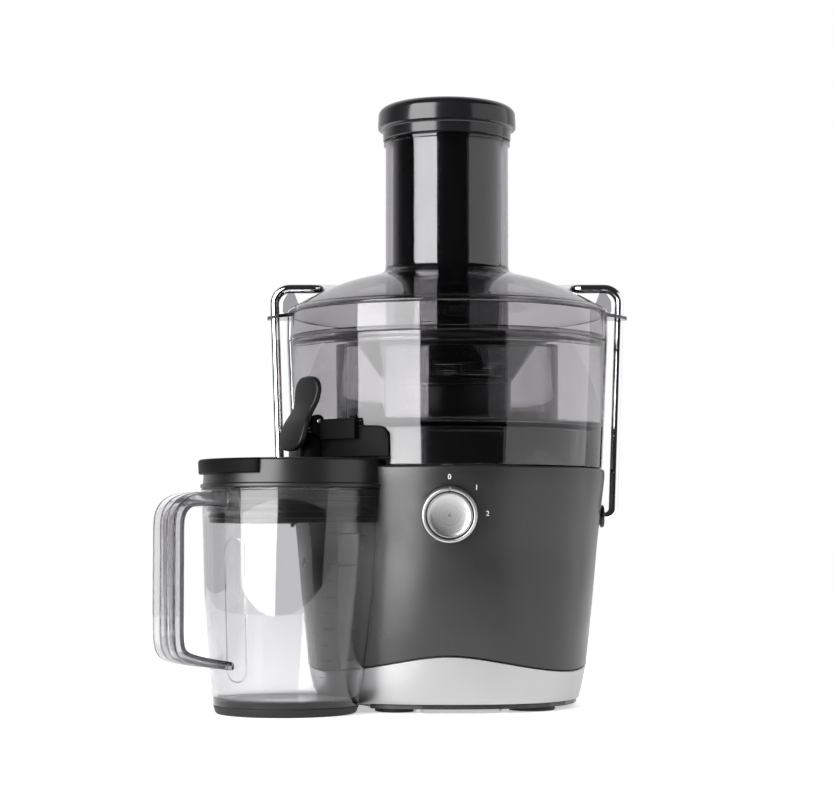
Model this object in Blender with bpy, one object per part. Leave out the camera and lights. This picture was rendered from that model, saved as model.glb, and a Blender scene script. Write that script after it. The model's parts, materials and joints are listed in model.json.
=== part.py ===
"""Centrifugal juicer: motor base, juice tray, sieve, pulp basin, lid with chute, pusher, locking arm and jug.

Lengths are in millimetres and are turned into metres where a mesh is made. The machine's own axis is x = y = 0,
its front faces -Y and it stands on z = 0. The whole model is then moved, to centre its box on the origin.
"""

import math

import bmesh
import bpy
from mathutils import Matrix, Vector

MM = 0.001
GAP = 0.3                   # clearance between pieces that touch
FINE, MEDIUM, SMALL = 32, 20, 8  # sides of large, medium and small round pieces

# ---- base ----
BASE_WALL = 2.6
BASE_TOP = 152.4
BASE_RADII = ((5.0, 85.0), (27.0, 89.8), (67.0, 94.4), (107.0, 98.3), (146.0, 103.0), (152.4, 101.2))
BASE_SQUARENESS = 0.5       # added to the exponent 2 at the bottom, 0 above BASE_ROUND_FROM
BASE_ROUND_FROM = 100.0
DECK_THICKNESS = 3.0
SKIRT_BOTTOM = 5.3
WAVE_HEIGHT, WAVE_DEPTH = 30.0, 5.4
PLATE_Z = (2.6, 5.0)
FEET = {"foot_front_left": (-33.0, -62.0, 13.5), "foot_front_right": (52.0, -50.0, 15.5),
        "foot_rear_left": (-52.0, 50.0, 15.5), "foot_rear_right": (52.0, 50.0, 15.5)}
POST_RADIUS = 4.5
POST_REACH = 78.0           # from the machine axis to each screw post
POST_AZIMUTHS = (-14.0, 26.0, 155.0, -155.0)
GLAND_Z = 16.0

# ---- bowl ----
TRAY_BOTTOM = 152.9
TRAY_FLOOR = (157.4, 159.8)  # its underside clears the jug's lid
TRAY_TOP = 175.8
TRAY_RADIUS = 98.4
BASIN_TOP = 235.3
BASIN_FLOOR = 176.2
BASIN_INNER_WALL = (71.0, 73.0)
LID_RIM = 105.7
LID_SEAM = 235.6
CHUTE_OUTER, CHUTE_INNER = 40.6, 38.1
CHUTE_TOP, CHUTE_BOTTOM = 369.0, 235.0
DOME = ((105.7, 254.6), (104.6, 257.2), (94.7, 262.3), (80.8, 269.2), (67.6, 274.4), (54.5, 278.0),
        (43.6, 281.0))
DOME_WALL = 2.4

# ---- jug and spout ----
JUG_AXIS = Vector((-101.0, -73.0, 0.0))
OUTWARD = JUG_AXIS.normalized()  # from the machine to the jug
ACROSS = Vector((-OUTWARD.y, OUTWARD.x, 0.0))  # level, square to OUTWARD
SPOUT_AZIMUTH = math.degrees(math.atan2(JUG_AXIS.x, -JUG_AXIS.y))
SPOUT_HALF_ANGLE = 33.0
SPOUT_TOP = 177.0
NOZZLE_REACH, NOZZLE_RADIUS, NOZZLE_BOTTOM = 106.0, 8.0, 158.3
PIN_REACH, PIN_Z = 108.5, 180.6
JUG_RADII = ((0.0, 44.0), (3.0, 45.0), (30.0, 49.0), (75.0, 53.5), (138.4, 57.7))
JUG_WALL = 2.4
JUG_FLOOR = 8.0
JUG_BOTTOM = 5.3
HANDLE_WIDTH = 27.0
JUG_LID_TOP = 156.5
JUG_LEAN = 0.042            # of its height, towards the machine

# ---- moving pieces ----
PIVOT_Z = 122.0
WIRE_RADIUS = 3.0
WIRE_TOP = 272.0
KNOB_Z = 122.7
LOCK_POST_TOP = WIRE_TOP - WIRE_RADIUS - 0.5

BLACK, DARK, GREY, SILVER = (0.012, 0.012, 0.013), (0.02, 0.02, 0.022), (0.085, 0.085, 0.09), (0.58, 0.58, 0.59)
SMOKE, STEEL, COPPER, RUBBER = (0.35, 0.32, 0.35), (0.62, 0.62, 0.63), (0.6, 0.28, 0.13), (0.02, 0.02, 0.02)
GREEN = (0.03, 0.16, 0.07)


def remove_everything():
    for old in list(bpy.data.objects):
        bpy.data.objects.remove(old, do_unlink=True)


# ---------------------------------------------------------------- mesh helpers

def material(name, colour, roughness, metallic=0.0, alpha=1.0):
    made = bpy.data.materials.new(name)
    made.use_nodes = True
    shader = made.node_tree.nodes["Principled BSDF"]
    shader.inputs["Base Color"].default_value = (*colour, 1.0)
    shader.inputs["Roughness"].default_value = roughness
    shader.inputs["Metallic"].default_value = metallic
    shader.inputs["Alpha"].default_value = alpha
    made.diffuse_color = (*colour, alpha)
    return made


def body_frame(name, location, outward=None, parent=None):
    """An empty on a joint's axis. Its Z points along outward when that is given."""
    empty = bpy.data.objects.new(name, None)
    empty.empty_display_size = 20 * MM
    bpy.context.scene.collection.objects.link(empty)
    turn = outward.to_track_quat("Z", "Y").to_matrix().to_4x4() if outward else Matrix()
    place = Matrix.Translation(Vector(location) * MM) @ turn
    empty.parent = parent
    empty.matrix_local = place
    bpy.context.view_layer.update()
    return empty


def piece(name, bm, body, finish=None, local=False):
    """Turns a bmesh in millimetres into a named object under a body's empty."""
    bmesh.ops.remove_doubles(bm, verts=bm.verts, dist=1e-4)
    loose = [edge for edge in bm.edges if not edge.link_faces]
    bmesh.ops.delete(bm, geom=loose, context="EDGES")
    bmesh.ops.recalc_face_normals(bm, faces=bm.faces)
    mesh = bpy.data.meshes.new(name)
    bm.to_mesh(mesh)
    bm.free()
    mesh.transform(Matrix.Scale(MM, 4))
    if not local:
        mesh.transform(body.matrix_local.inverted())
    mesh.shade_smooth()
    mesh.set_sharp_from_angle(angle=math.radians(35))
    made = bpy.data.objects.new(name, mesh)
    bpy.context.scene.collection.objects.link(made)
    made.parent = body
    if finish:
        mesh.materials.append(material(name, *finish))
    return made


def skin(rings, closed=False):
    """Joins rings of points into a surface. Open ends are capped; a closed skin joins the last to the first."""
    bm = bmesh.new()
    rows = [[bm.verts.new(point) for point in ring] for ring in rings]
    count = len(rows[0])
    pairs = list(zip(rows, rows[1:]))
    if closed:
        pairs.append((rows[-1], rows[0]))
    for near, far in pairs:
        for i in range(count):
            j = (i + 1) % count
            bm.faces.new((near[i], near[j], far[j], far[i]))
    if not closed:
        bm.faces.new(rows[0])
        bm.faces.new(rows[-1])
    return bm


def turned(profile, sides, centre=(0.0, 0.0)):
    """A closed (radius, z) outline turned about a vertical axis, with flats and not corners along X and Y."""
    rings = []
    for i in range(sides):
        angle = math.tau * (i + 0.5) / sides
        c, s = math.cos(angle), math.sin(angle)
        rings.append([(centre[0] + r * c, centre[1] + r * s, z) for r, z in profile])
    return skin(rings, closed=True)


def along(bm, axis, origin=(0.0, 0.0, 0.0)):
    """Turns a mesh made about Z so that its Z runs along axis from origin."""
    turn = Vector(axis).to_track_quat("Z", "Y").to_matrix().to_4x4()
    bm.transform(Matrix.Translation(Vector(origin)) @ turn)
    return bm


def rod(radius, low, high, sides=SMALL, centre=(0.0, 0.0)):
    return turned(((0.0, low), (radius, low), (radius, high), (0.0, high)), sides, centre)


def block(low, high):
    """A box between two corners."""
    ring = [(low[0], low[1]), (high[0], low[1]), (high[0], high[1]), (low[0], high[1])]
    return skin([[(x, y, z) for x, y in ring] for z in (low[2], high[2])])


def slab(outline, low, high, place=lambda a, b, c: (a, b, c)):
    """An outline of (a, b) points carried from low to high along the third direction."""
    return skin([[place(a, b, c) for a, b in outline] for c in (low, high)])


def in_spout_frame(reach, across, z):
    """A point given by its distance from the machine axis towards the jug, sideways offset and height."""
    point = OUTWARD * reach + ACROSS * across
    return (point.x, point.y, z)


def at_azimuth(radius, degrees, z):
    """A point at an angle from the front, positive towards +X."""
    angle = math.radians(degrees)
    return (radius * math.sin(angle), -radius * math.cos(angle), z)


def sector(section, middle, half_angle, steps, about=Vector((0.0, 0.0, 0.0))):
    """Sections of (radius, z) points at azimuths round a vertical axis; section is a function of -1 to 1."""
    rings = []
    for i in range(steps + 1):
        share = -1.0 + 2.0 * i / steps
        ring = [Vector(at_azimuth(r, middle + share * half_angle, z)) + about for r, z in section(share)]
        rings.append([tuple(point) for point in ring])
    bm = skin(rings)
    bmesh.ops.triangulate(bm, faces=bm.faces)
    return bm


def boolean(target, tool, operation):
    """Leaves the tool as a hidden guide and applies it to the target with an exact Boolean."""
    tool.hide_render = True
    tool.display_type = "WIRE"
    change = target.modifiers.new(operation.lower() + "_" + tool.name, "BOOLEAN")
    change.operation = operation
    change.solver = "EXACT"
    change.object = tool


def cut(target, *tools):
    for tool in tools:
        boolean(target, tool, "DIFFERENCE")


def join(target, *tools):
    for tool in tools:
        boolean(target, tool, "UNION")


def interpolate(table, at):
    """A value read along straight lines between (position, value) points."""
    for (a, value_a), (b, value_b) in zip(table, table[1:]):
        if at <= b:
            return value_a + (value_b - value_a) * (at - a) / (b - a)
    return table[-1][1]


def rounded_path(corners, steps=4):
    """Straight runs between (point, radius) corners, with an arc at each corner that has a radius."""
    points = []
    for i, (corner, radius) in enumerate(corners):
        corner = Vector(corner)
        if radius <= 0.0:
            points.append(corner)
            continue
        before = (Vector(corners[i - 1][0]) - corner).normalized()
        after = (Vector(corners[i + 1][0]) - corner).normalized()
        half = before.angle(after) / 2.0
        centre = corner + (before + after).normalized() * (radius / math.sin(half))
        start = corner + before * (radius / math.tan(half)) - centre
        end = corner + after * (radius / math.tan(half)) - centre
        for k in range(steps + 1):
            points.append(centre + start.normalized().slerp(end.normalized(), k / steps) * radius)
    return points


def tube(points, radius, sides):
    """A round rod along a path, with its section carried along without twist."""
    rings = []
    side = None
    for i, point in enumerate(points):
        ahead = points[min(i + 1, len(points) - 1)] - points[max(i - 1, 0)]
        ahead.normalize()
        if side is None:
            side = ahead.orthogonal()
        side = (side - ahead * side.dot(ahead)).normalized()
        other = ahead.cross(side)
        rings.append([tuple(point + (side * math.cos(math.tau * k / sides) + other * math.sin(math.tau * k / sides))
                            * radius) for k in range(sides)])
    return skin(rings)


# ---------------------------------------------------------------- base

def base_outline(z, inset=0.0, height=None, turn=0.0):
    """One level of the base: a circle that grows slightly square towards the bottom, from the angle turn."""
    radius = interpolate(BASE_RADII, z) - inset
    power = 2.0 + BASE_SQUARENESS * max(0.0, 1.0 - z / BASE_ROUND_FROM)
    ring = []
    for i in range(FINE):
        angle = math.tau * (i + turn) / FINE
        squared = (abs(math.cos(angle)) ** power + abs(math.sin(angle)) ** power) ** (-1.0 / power)
        x, y = radius * squared * math.cos(angle), radius * squared * math.sin(angle)
        ring.append((x, y, height(x, y) if height else z))
    return ring


def wave(x, y):
    """Height of the line between housing and skirt, by direction from the machine axis."""
    azimuth = abs(math.degrees(math.atan2(x, -y)))
    lag = 66.0 * math.sin(math.radians(azimuth)) ** 2
    return WAVE_HEIGHT + WAVE_DEPTH * math.cos(math.radians(4.0 * azimuth - lag))


def seam_rings(offset):
    """Rings from the wall to the middle of the wavy seam, so that it is level along each radius."""
    outer = base_outline(WAVE_HEIGHT, 0.0, lambda x, y: wave(x, y) + offset)
    inner = [(x * 0.25, y * 0.25, z) for x, y, z in outer]
    tip = [(0.0, 0.0, WAVE_HEIGHT)] * FINE
    return outer, inner, tip


def jug_recess(name, body, grow=0.0, low=-5.0, high=160.0):
    """The space that the jug stands in, widening upwards."""
    profile = ((0.0, low), (52.0 + grow, low), (52.0 + grow, 27.0), (59.0 + grow, 48.0), (63.5 + grow, 75.0),
               (68.5 + grow, high), (0.0, high))
    return piece(name, turned(profile, FINE, (JUG_AXIS.x, JUG_AXIS.y)), body)


def base_cavity(name, body, low, high):
    """The inside of the base shell, with the recess's own wall left standing.

    Its points lie half a step round from those of the outside, so that no edge of one meets an edge of the other.
    """
    levels = [low] + [z for z, _ in BASE_RADII if low < z < high] + [high]
    hollow = piece(name, skin([base_outline(max(z, BASE_RADII[0][0]), BASE_WALL, lambda x, y, z=z: z, 0.5)
                               for z in levels]), body)
    cut(hollow, jug_recess(name + "_recess_wall", body, BASE_WALL))
    return hollow


def posts(body):
    """Four pillars under the deck, each with a pilot hole for a screw."""
    for i, azimuth in enumerate(POST_AZIMUTHS):
        x, y, _ = at_azimuth(POST_REACH, azimuth, 0.0)
        profile = ((0.0, 18.0), (1.8, 18.0), (1.8, 8.0), (POST_RADIUS, 8.0), (POST_RADIUS, BASE_TOP - 1.0),
                   (0.0, BASE_TOP - 1.0))
        yield piece(f"post_{i + 1}", turned(profile, SMALL, (x, y)), body)


def make_base(body, knob_body):
    outer, inner, tip = seam_rings(GAP)
    levels = [base_outline(z) for z in (48.0, 67.0, 107.0, 146.0, BASE_TOP)]
    housing = piece("base_housing", skin([tip, inner, outer, *levels]), body, (GREY, 0.42))
    cut(housing, jug_recess("recess", body), base_cavity("cavity", body, -3.0, BASE_TOP - DECK_THICKNESS))
    join(housing, *posts(body))
    cut(housing, piece("shaft_hole", rod(15.0, 140.0, 160.0, MEDIUM), body),
        piece("pivot_holes", along(rod(6.3, -120.0, 120.0), (1, 0, 0), (0.0, 0.0, PIVOT_Z)), body),
        piece("knob_hole", rod(4.5, -12.0, 12.0), knob_body, local=True))

    outer, inner, tip = seam_rings(-GAP)
    skirt = piece("base_skirt", skin([base_outline(SKIRT_BOTTOM), base_outline(12.0), outer, inner, tip]), body,
                  (SILVER, 0.35, 0.9))
    cut(skirt, jug_recess("skirt_recess", body), base_cavity("skirt_cavity", body, -3.0, 60.0),
        piece("gland_hole", along(rod(5.8, 70.0, 100.0), (0, 1, 0), (0.0, 0.0, GLAND_Z)), body))

    low, high = PLATE_Z
    plate = piece("bottom_plate", skin([base_outline(SKIRT_BOTTOM, 1.5, lambda x, y, z=z: z) for z in PLATE_Z]),
                  body, (BLACK, 0.6))
    cut(plate, jug_recess("plate_recess", body, 0.6))
    for name, (x, y, _) in FEET.items():
        cut(plate, piece(name + "_hole", rod(3.9, low - 2.0, high + 2.0, SMALL, (x, y)), body))
    for i, azimuth in enumerate(POST_AZIMUTHS):
        x, y, _ = at_azimuth(POST_REACH, azimuth, 0.0)
        cut(plate, piece(f"screw_hole_{i + 1}", rod(1.9, low - 2.0, high + 2.0, SMALL, (x, y)), body))
    for i in range(6):
        y = -30.0 + 12.0 * i
        cut(plate, piece(f"vent_{i + 1}", block((-22.0, y, low - 2.0), (22.0, y + 4.0, high + 2.0)), body))


def make_feet(body):
    for name, (x, y, radius) in FEET.items():
        profile = ((0.0, 0.0), (radius - 1.0, 0.0), (radius, 1.0), (radius, PLATE_Z[0] - GAP),
                   (3.5, PLATE_Z[0] - GAP), (3.5, 8.0), (0.0, 8.0))
        piece(name, turned(profile, MEDIUM, (x, y)), body, (RUBBER, 0.8))


def make_base_screws(body):
    for i, azimuth in enumerate(POST_AZIMUTHS):
        x, y, _ = at_azimuth(POST_REACH, azimuth, 0.0)
        profile = ((0.0, 0.8), (3.3, 0.8), (3.3, PLATE_Z[0] - GAP), (1.5, PLATE_Z[0] - GAP), (1.5, 16.0), (0.0, 16.5))
        piece(f"base_screw_{i + 1}", turned(profile, SMALL, (x, y)), body, (STEEL, 0.35, 1.0))


def make_base_fittings(body):
    """The pieces held in the walls: pivot bushes, cord gland and shaft seal."""
    bush = ((WIRE_RADIUS + GAP, 95.0), (5.9, 95.0), (5.9, 101.4), (7.6, 101.4), (7.6, 102.8),
            (WIRE_RADIUS + GAP, 102.8))
    for name, side in (("pivot_bush_left", -1.0), ("pivot_bush_right", 1.0)):
        piece(name, along(turned(bush, 16), (side, 0, 0), (0.0, 0.0, PIVOT_Z)), body, (BLACK, 0.5))
    gland = ((3.6, 80.0), (5.4, 80.0), (5.4, 89.2), (6.6, 89.2), (6.6, 91.0), (3.6, 91.0))
    piece("cord_gland", along(turned(gland, 16), (0, 1, 0), (0.0, 0.0, GLAND_Z)), body, (RUBBER, 0.7))
    seal = ((4.4, 149.8), (14.6, 149.8), (14.6, 151.8), (8.0, 151.8), (8.0, 153.6), (4.4, 153.6))
    piece("shaft_seal", turned(seal, MEDIUM), body, (RUBBER, 0.7))


# ---------------------------------------------------------------- motor and electrics

def motor_end(name, body, sign, middle):
    """One end frame of the motor: a disc with a bearing seat and a wall, with four windows, round the field."""
    def at(distance):
        return middle + sign * distance

    profile = ((9.4, at(49.0)), (46.0, at(49.0)), (46.0, at(46.0)), (40.0, at(46.0)), (40.0, at(22.4)),
               (36.5, at(22.4)), (36.5, at(46.0)), (12.2, at(46.0)), (12.2, at(41.0)), (9.4, at(41.0)))
    frame = piece(name, turned(profile, MEDIUM), body, (STEEL, 0.5, 0.9))
    low, high = sorted((at(26.0), at(40.0)))
    cut(frame, piece(name + "_windows_x", block((-60.0, -8.0, low), (60.0, 8.0, high)), body),
        piece(name + "_windows_y", block((-8.0, -60.0, low), (8.0, 60.0, high)), body))
    for side in (-1.0, 1.0):
        low, high = sorted((at(40.0), at(60.0)))
        cut(frame, piece(f"{name}_bolt_hole_{side:+.0f}", rod(2.4, low, high, SMALL, (0.0, side * 43.2)), body))


def make_motor(body):
    middle = 80.0
    field = ((22.2, middle - 22.0), (38.5, middle - 22.0), (38.5, middle + 22.0), (22.2, middle + 22.0))
    piece("motor_field", turned(field, MEDIUM), body, (STEEL, 0.5, 0.8))
    motor_end("motor_frame_lower", body, -1.0, middle)
    motor_end("motor_frame_upper", body, 1.0, middle)
    for name, side in (("motor_bolt_front", -1.0), ("motor_bolt_rear", 1.0)):
        profile = ((0.0, 27.0), (3.6, 27.0), (3.6, 30.7), (2.0, 30.7), (2.0, 131.5), (0.0, 131.5))
        piece(name, turned(profile, SMALL, (0.0, side * 43.2)), body, (STEEL, 0.35, 1.0))
    for name, side in (("brush_holder_left", -1.0), ("brush_holder_right", 1.0)):
        ends = sorted((side * 11.6, side * 44.5))
        piece(name, block((ends[0], -4.5, 43.0), (ends[1], 4.5, 52.0)), body, ((0.3, 0.2, 0.09), 0.5))
    for name, low in (("bearing_lower", 31.5), ("bearing_upper", 121.5)):
        ring = ((4.4, low), (9.1, low), (9.1, low + 7.0), (4.4, low + 7.0))
        piece(name, turned(ring, MEDIUM), body, (STEEL, 0.25, 1.0))
    for i in range(4):
        x, y, _ = at_azimuth(43.0, 45.0 + 90.0 * i, 0.0)
        profile = ((0.0, 129.3), (5.0, 129.3), (3.8, 132.5), (3.8, 145.5), (5.0, 149.1), (0.0, 149.1))
        piece(f"motor_mount_{i + 1}", turned(profile, SMALL, (x, y)), body, (RUBBER, 0.8))


def make_electrics(body):
    board = piece("control_board", block((-10.0, -78.0, 58.0), (34.0, -76.4, 106.0)), body, (GREEN, 0.5))
    for i, (x, z, width, depth) in enumerate(((-4.0, 66.0, 14.0, 12.0), (16.0, 84.0, 12.0, 16.0))):
        join(board, piece(f"component_{i + 1}", block((x, -77.0, z), (x + width, -77.0 + depth, z + width)), body))
    switch = piece("rotary_switch", block((-11.0, -91.0, KNOB_Z - 12.0), (11.0, -78.0, KNOB_Z + 10.0)), body,
                   (DARK, 0.5))
    join(switch, piece("switch_terminals", block((-7.0, -79.0, KNOB_Z - 8.0), (7.0, -72.0, KNOB_Z - 4.0)), body))
    interlock = piece("interlock_switch", block((80.0, -7.0, PIVOT_Z - 5.0), (91.0, 7.0, PIVOT_Z + 12.0)), body,
                      (DARK, 0.5))
    join(interlock, piece("interlock_button", along(rod(2.0, 85.0, 93.0), (1, 0, 0), (0.0, 0.0, PIVOT_Z)), body))


def make_rotor(body):
    """Everything that the motor turns, from the lower bearing to the sieve."""
    shaft = ((0.0, 30.0), (4.0, 30.0), (4.0, 185.0), (3.0, 186.0), (0.0, 186.0))
    piece("motor_shaft", turned(shaft, MEDIUM), body, (STEEL, 0.2, 1.0))
    around_shaft = 4.0 + GAP + 0.1
    armature = ((around_shaft, 54.5), (16.0, 54.5), (18.0, 58.5), (21.2, 58.5), (21.2, 101.5), (18.0, 101.5),
                (16.0, 105.0), (around_shaft, 105.0))
    piece("armature", turned(armature, MEDIUM), body, (COPPER, 0.45, 0.8))
    commutator = ((around_shaft, 42.0), (11.0, 42.0), (11.0, 53.0), (around_shaft, 53.0))
    piece("commutator", turned(commutator, MEDIUM), body, (COPPER, 0.3, 1.0))
    fan = ((around_shaft, 106.0), (10.0, 106.0), (10.0, 108.0), (33.0, 108.0), (33.0, 109.6), (10.0, 109.6),
           (10.0, 116.0), (around_shaft, 116.0))
    fan_disc = piece("cooling_fan", turned(fan, MEDIUM), body, (BLACK, 0.5))
    for i in range(8):
        blade = block((9.0, -0.8, 109.0), (32.0, 0.8, 116.0))
        blade.transform(Matrix.Rotation(math.tau * i / 8.0, 4, "Z"))
        join(fan_disc, piece(f"fan_blade_{i + 1}", blade, body))
    coupling = ((around_shaft, 157.0), (9.0, 157.0), (12.0, 160.0), (12.0, 184.0), (11.0, 185.8),
                (around_shaft, 185.8))
    piece("drive_coupling", turned(coupling, MEDIUM), body, (BLACK, 0.4))
    hub = ((0.0, 186.5), (12.6, 186.5), (12.6, 160.5), (16.3, 160.5), (16.3, 193.5), (39.5, 193.5), (39.5, 180.0),
           (42.0, 180.0), (42.0, 200.2), (40.2, 200.2), (40.2, 197.0), (0.0, 197.0))
    piece("sieve_hub", turned(hub, MEDIUM), body, (BLACK, 0.35))
    disc = ((0.0, 197.3), (39.6, 197.3), (39.6, 198.6), (8.0, 198.6), (7.0, 202.0), (0.0, 203.0))
    piece("grating_disc", turned(disc, MEDIUM), body, (STEEL, 0.3, 1.0))
    cone = ((40.6, 200.6), (43.4, 200.6), (66.4, 228.8), (66.4, 231.0), (65.2, 231.0), (65.2, 229.2),
            (42.6, 201.8), (40.6, 201.8))
    piece("sieve_cone", turned(cone, FINE), body, (STEEL, 0.35, 1.0))
    rim = ((66.8, 229.4), (74.0, 228.2), (74.0, 236.8), (72.8, 238.0), (64.6, 238.0), (64.6, 231.4), (66.8, 231.4))
    piece("sieve_rim", turned(rim, FINE), body, (BLACK, 0.35))


# ---------------------------------------------------------------- bowl

def spout_section(low, top, near, far, corner):
    """Rectangular section whose top falls away in a rounded corner towards each end of the sector."""
    def section(share):
        arc = math.radians(SPOUT_HALF_ANGLE) * far * (1.0 - abs(share))
        drop = corner - math.sqrt(max(0.0, corner ** 2 - (corner - arc) ** 2)) if arc < corner else 0.0
        return ((near, low), (far, low), (far, top - drop), (near, top - drop))
    return section


def make_tray(body):
    under, floor = TRAY_FLOOR
    profile = ((TRAY_RADIUS, TRAY_BOTTOM), (TRAY_RADIUS, TRAY_TOP), (95.8, TRAY_TOP), (95.8, floor), (20.5, floor),
               (20.5, 190.0), (18.0, 190.0), (18.0, under), (95.8, under), (95.8, TRAY_BOTTOM))
    tray = piece("juice_tray", turned(profile, FINE), body, (BLACK, 0.25))
    cut(tray, jug_recess("tray_recess", body, 0.0, -5.0, under + 0.2))
    front = sector(spout_section(under + 0.4, SPOUT_TOP, 97.2, 103.8, 7.5), SPOUT_AZIMUTH, SPOUT_HALF_ANGLE, 22)
    nozzle = rod(NOZZLE_RADIUS, NOZZLE_BOTTOM, 173.0, MEDIUM, in_spout_frame(NOZZLE_REACH, 0.0, 0.0)[:2])
    saddle = sector(lambda share: ((101.2, 169.3), (108.4, 169.3), (108.4, 180.6), (107.1, 181.9), (103.4, 181.9),
                                   (103.4, 175.3), (101.2, 175.3)), SPOUT_AZIMUTH + 13.9, 7.6, 5)
    join(tray, piece("spout_front", front, body), piece("spout_nozzle", nozzle, body),
         piece("spout_saddle", saddle, body))
    for name, side in (("spout_ear_left", -1.0), ("spout_ear_right", 1.0)):
        ends = sorted((side * 8.4, side * 11.2))
        outline = ((101.5, 171.0), (109.0, 171.0), (112.6, 177.0), (112.6, 182.4), (110.4, 184.6), (106.8, 184.6),
                   (104.6, 182.4), (104.0, 176.0), (101.5, 176.0))
        join(tray, piece(name, slab(outline, *ends, lambda a, b, c: in_spout_frame(a, c, b)), body))
    across = tuple(ACROSS)
    cut(tray,
        piece("nozzle_bore", rod(6.0, 150.0, 170.5, MEDIUM, in_spout_frame(NOZZLE_REACH, 0.0, 0.0)[:2]), body),
        piece("spout_channel", along(rod(4.8, 88.0, NOZZLE_REACH), tuple(OUTWARD), (0.0, 0.0, 165.0)), body),
        piece("pin_hole", along(rod(1.9, -20.0, 20.0), across, in_spout_frame(PIN_REACH, 0.0, PIN_Z)), body))
    pin = rod(1.5, -12.4, 12.4)
    piece("spout_pin", along(pin, across, in_spout_frame(PIN_REACH, 0.0, PIN_Z)), body, (STEEL, 0.25, 1.0))


def make_basin(body):
    inner_near, inner_far = BASIN_INNER_WALL
    profile = ((101.6, TRAY_BOTTOM), (105.5, BASIN_TOP), (103.0, BASIN_TOP), (100.5, BASIN_FLOOR + 2.2),
               (inner_far, BASIN_FLOOR + 2.2),
               (inner_far, 226.5), (inner_near, 226.5), (inner_near, BASIN_FLOOR), (100.4, BASIN_FLOOR),
               (99.3, TRAY_BOTTOM))
    basin = piece("pulp_basin", turned(profile, FINE), body, (SMOKE, 0.08, 0.0, 0.45))
    notch = sector(spout_section(TRAY_BOTTOM - 5.0, SPOUT_TOP + 0.5, 96.8, 112.0, 8.0), SPOUT_AZIMUTH,
                   SPOUT_HALF_ANGLE + 0.5, 22)
    cut(basin, piece("spout_notch", notch, body))
    seal = ((101.5, 231.4), (102.5, 231.4), (102.5, 233.4), (101.5, 233.4))
    piece("bowl_seal", turned(seal, FINE), body, (RUBBER, 0.7))


def make_lid(body):
    outside = DOME + ((40.9, 284.5), (CHUTE_OUTER, 288.0), (CHUTE_OUTER, CHUTE_TOP))
    inside_dome = tuple((r - DOME_WALL * 0.5, z - DOME_WALL * 1.1) for r, z in reversed(DOME[1:]))
    profile = ((LID_RIM, LID_SEAM), *outside, (CHUTE_INNER, CHUTE_TOP), (CHUTE_INNER, CHUTE_BOTTOM),
               (CHUTE_OUTER, CHUTE_BOTTOM), (CHUTE_OUTER, 278.5), *inside_dome, (103.2, 238.2), (99.0, 238.2),
               (99.0, 229.6), (101.2, 229.6), (101.2, LID_SEAM))
    lid = piece("lid", turned(profile, FINE), body, (SMOKE, 0.08, 0.0, 0.4))
    for name, side in (("left", -1.0), ("right", 1.0)):
        ear = [(side * x, y) for x, y in ((98.4, -37.0), (110.0, -24.5), (117.6, -9.0), (118.5, -3.6), (104.4, -3.6))]
        post = [(side * x, z) for x, z in ((105.0, LOCK_POST_TOP), (100.5, LOCK_POST_TOP), (96.8, 258.4),
                                           (104.4, 252.6), (108.3, 256.4), (108.0, 263.5))]
        join(lid, piece("ear_" + name, slab(ear, 250.0, 253.0), body),
             piece("lock_post_" + name, slab(post, -3.0, 3.0, lambda a, b, c: (a, c, b)), body))


# ---------------------------------------------------------------- moving pieces

def make_pusher(body):
    profile = ((0.0, 212.0), (33.5, 212.0), (35.6, 214.0), (35.6, 368.0), (33.4, 368.0), (33.4, 214.6), (0.0, 214.6))
    piece("pusher_body", turned(profile, FINE), body, (BLACK, 0.3))
    cap = ((0.0, 377.4), (33.0, 377.4), (33.0, 368.6), (36.0, 368.6), (36.0, CHUTE_TOP + 0.6), (42.0, CHUTE_TOP + 0.6),
           (42.3, 377.0), (45.4, 378.0), (46.2, 380.0), (46.2, 387.6), (45.0, 390.4), (38.0, 392.8), (0.0, 394.0))
    piece("pusher_cap", turned(cap, FINE), body, (BLACK, 0.12))


def make_arm(body):
    """One bent wire: up each side of the bowl, over the lid's posts and round behind the chute."""
    reach, back, rise = 84.0, 76.0, 8.0
    half = [((94.0, 0.0, PIVOT_Z), 0.0), ((108.8, 0.0, PIVOT_Z), 5.0), ((114.2, 0.0, WIRE_TOP), 10.0),
            ((reach, 0.0, WIRE_TOP), 7.0)]
    left = [((-x, y, z), radius) for (x, y, z), radius in half]
    behind = []
    steps = 18
    for i in range(1, steps):
        angle = math.pi * (1.0 - i / steps)
        behind.append(((reach * math.cos(angle), back * math.sin(angle), WIRE_TOP + rise * math.sin(angle)), 0.0))
    path = rounded_path(left + behind + half[::-1])
    piece("locking_arm", tube(path, WIRE_RADIUS, 10), body, ((0.8, 0.8, 0.8), 0.08, 1.0))


def make_knob(body):
    ring = ((3.4, 0.8), (17.0, 0.8), (17.0, 8.8), (16.2, 10.0), (14.8, 10.0), (14.3, 8.8), (14.3, 7.4), (3.4, 7.4))
    piece("speed_knob", turned(ring, MEDIUM), body, (SILVER, 0.3, 1.0), local=True)
    insert = ((0.0, 7.8), (13.9, 7.8), (13.9, 9.6), (8.0, 8.9), (0.0, 8.6))
    piece("knob_insert", turned(insert, MEDIUM), body, (SILVER, 0.35, 1.0), local=True)
    piece("knob_shaft", rod(3.0, -7.0, 7.3, SMALL), body, (BLACK, 0.5), local=True)


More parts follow.
